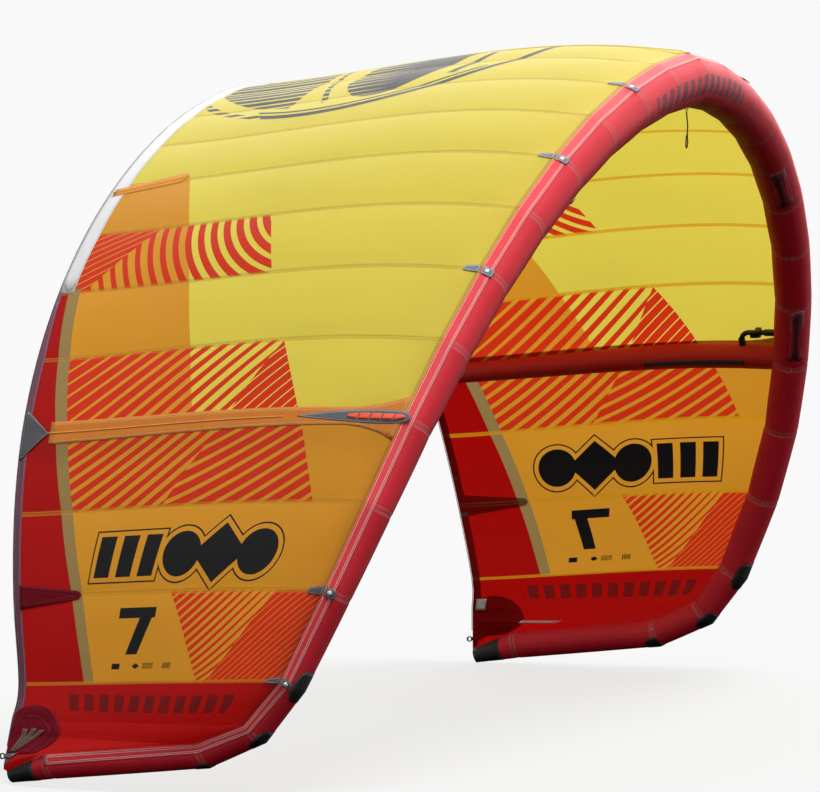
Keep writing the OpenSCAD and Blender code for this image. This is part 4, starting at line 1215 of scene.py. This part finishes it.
# ---- zips, loops and eye
ZIP_ANGLE = 242
ZIP_MID = 0.42
ZIP_HALF_LENGTH = 95


def zip_run(side, b, more=0.0):
    """Joint coordinates along a zip in bay b, more millimetres longer at each end."""
    half = (ZIP_HALF_LENGTH + more) / bay_len(b)
    return side * (b + ZIP_MID + np.linspace(-half, half, 9))


def zip_piece(side, b, spread, low, high, more=0.0):
    gx, ga = grid(zip_run(side, b, more), ZIP_ANGLE + np.linspace(-spread, spread, 7))
    return patch_on_tube(gx, ga, low, high)


def webbing_ring(centre, inner, outer, width, n=48):
    """A flat webbing ring about the x direction with softened edges."""
    half, soft = width / 2, min(0.8, (outer - inner) / 4)
    section = [(inner, -half + soft), (inner + soft, -half), (outer - soft, -half), (outer, -half + soft),
               (outer, half - soft), (outer - soft, half), (inner + soft, half), (inner, half - soft)]
    angle = np.arange(n) * 2 * np.pi / n
    points = centre + np.array([[x, r * np.cos(t), r * np.sin(t)] for t in angle for r, x in section])
    m = len(section)
    faces = [(i * m + k, i * m + (k + 1) % m, (i + 1) % n * m + (k + 1) % m, (i + 1) % n * m + k)
             for i in range(n) for k in range(m)]
    uv = np.array([[outer * t, x + half] for t in angle for r, x in section])
    edge = np.array([[half - abs(x)] * 3 for t in angle for r, x in section]) * MM
    return points, faces, uv, edge


ZIP_PLACES = [(side, b) for side in (-1, 1) for b in (4, 7)]
zip_patches = [zip_piece(side, b, 27, 0.1, 0.5, 12) for side, b in ZIP_PLACES]
build("zip_patch_cloths", zip_patches, M_ZIP_CLOTH, "red_dacron")
zip_tapes = [zip_piece(side, b, 9, 0.5, 1.4) for side, b in ZIP_PLACES]
build("zip_tapes", zip_tapes, M_ZIP_TAPE, "zip_tape", "zips")
coils = [round_rod(tube(zip_run(side, b), ZIP_ANGLE, 2.8), 1.2, 8) for side, b in ZIP_PLACES]
build("zip_coils", coils, M_BLACK_CLOTH, "zip_tape")

LOOP_EYE, LOOP_WALL, LOOP_GAP = 6, 3, 1.5


def steering_tab(side):
    end = 1 + (LOOP_GAP - 0.3) / np.linalg.norm(REAR[14] - SEWN[14])
    gx, gv = grid(side * np.linspace(13.88, 14.12, 5), np.linspace(0.75, end, 9))
    return patch_on_cloth(gx, gv, 2.6, 4)


loop_parts = both(steering_tab)
for side in (-1, 1):
    middle = mirror_if(side < 0, REAR[14] + [0, LOOP_EYE + LOOP_WALL + LOOP_GAP, 0])
    loop_parts.append(webbing_ring(middle, LOOP_EYE, LOOP_EYE + LOOP_WALL, 10))
build("steering_webbing_loops", loop_parts, M_DARK_TAB, "black_webbing", "steering_loops")
eye = webbing_ring((0, 0, -(TUBE_R + 6)), 3.2, 5.6, 3)
build("leash_webbing_eye", [eye], M_DARK_TAB, "black_webbing", "leash_eye")

# ---- hard fittings and bladders keep their CAD shape
CAD_PAINTS = (
    (M_PLASTIC, "valve_body valve_cap hose_fittings clip_frames clip_lever_c clip_lever_l clip_lever_r"),
    (M_HOSE, "one_pump_hoses"),
    (M_METAL, "zip_slider_shoulder_l zip_slider_shoulder_r zip_slider_quarter_l zip_slider_quarter_r"),
    (M_BLADDER, "le_bladder strut_bladders"),
)
for mat, nodes in CAD_PAINTS:
    for node in nodes.split():
        data = bpy.data.objects[node].data
        data.materials.clear()
        data.materials.append(mat)

# ---- floor and light
floor_z = float(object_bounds()[0][2]) - 0.003
PALE = Paint("pale_floor", (90, 90, 90), 0.9, Specular_IOR_Level=0.0, Emission_Color=(1, 1, 1, 1),
             Emission_Strength=0.745)
# Wide enough that it fills the whole background
FLOOR_HALF = 2000
floor_mesh = bpy.data.meshes.new("floor")
corners = [(FLOOR_HALF * x, FLOOR_HALF * y, floor_z) for x, y in ((-1, -1), (1, -1), (1, 1), (-1, 1))]
floor_mesh.from_pydata(corners, [], [(0, 1, 2, 3)])
floor_mesh.materials.append(PALE.mat)
floor = bpy.data.objects.new("floor", floor_mesh)
bpy.context.scene.collection.objects.link(floor)
# The pale floor is bright enough to wash the cloth out, so it lights nothing itself
floor.visible_diffuse = False
floor.visible_glossy = False
floor.visible_transmission = False

world = bpy.data.worlds.new("world")
bpy.context.scene.world = world
world.use_nodes = True
world.node_tree.nodes["Background"].inputs[0].default_value = (0.922, 0.922, 0.922, 1)
world.cycles_visibility.diffuse = False
world.cycles_visibility.glossy = False
world.cycles_visibility.transmission = False


def soft_sun(name, toward, strength, spread):
    """Light from that direction, spread over a cone of so many degrees."""
    light = bpy.data.lights.new(name, "SUN")
    light.energy = strength
    light.angle = math.radians(spread)
    obj = bpy.data.objects.new(name, light)
    obj.rotation_euler = Vector(toward).to_track_quat("Z", "Y").to_euler()
    bpy.context.scene.collection.objects.link(obj)


soft_sun("sky", (-0.05, 0.0, 1.0), 2.2, 175)
soft_sun("key", (-0.15, -0.3, 1.0), 2.9, 20)
soft_sun("fill", (-0.9, -0.4, 0.1), 0.22, 90)
soft_sun("back", (0.85, 0.25, 0.45), 2.4, 60)
soft_sun("side", (0.8, -0.6, 0.1), 0.75, 60)
bpy.context.scene.view_settings.view_transform = "Standard"
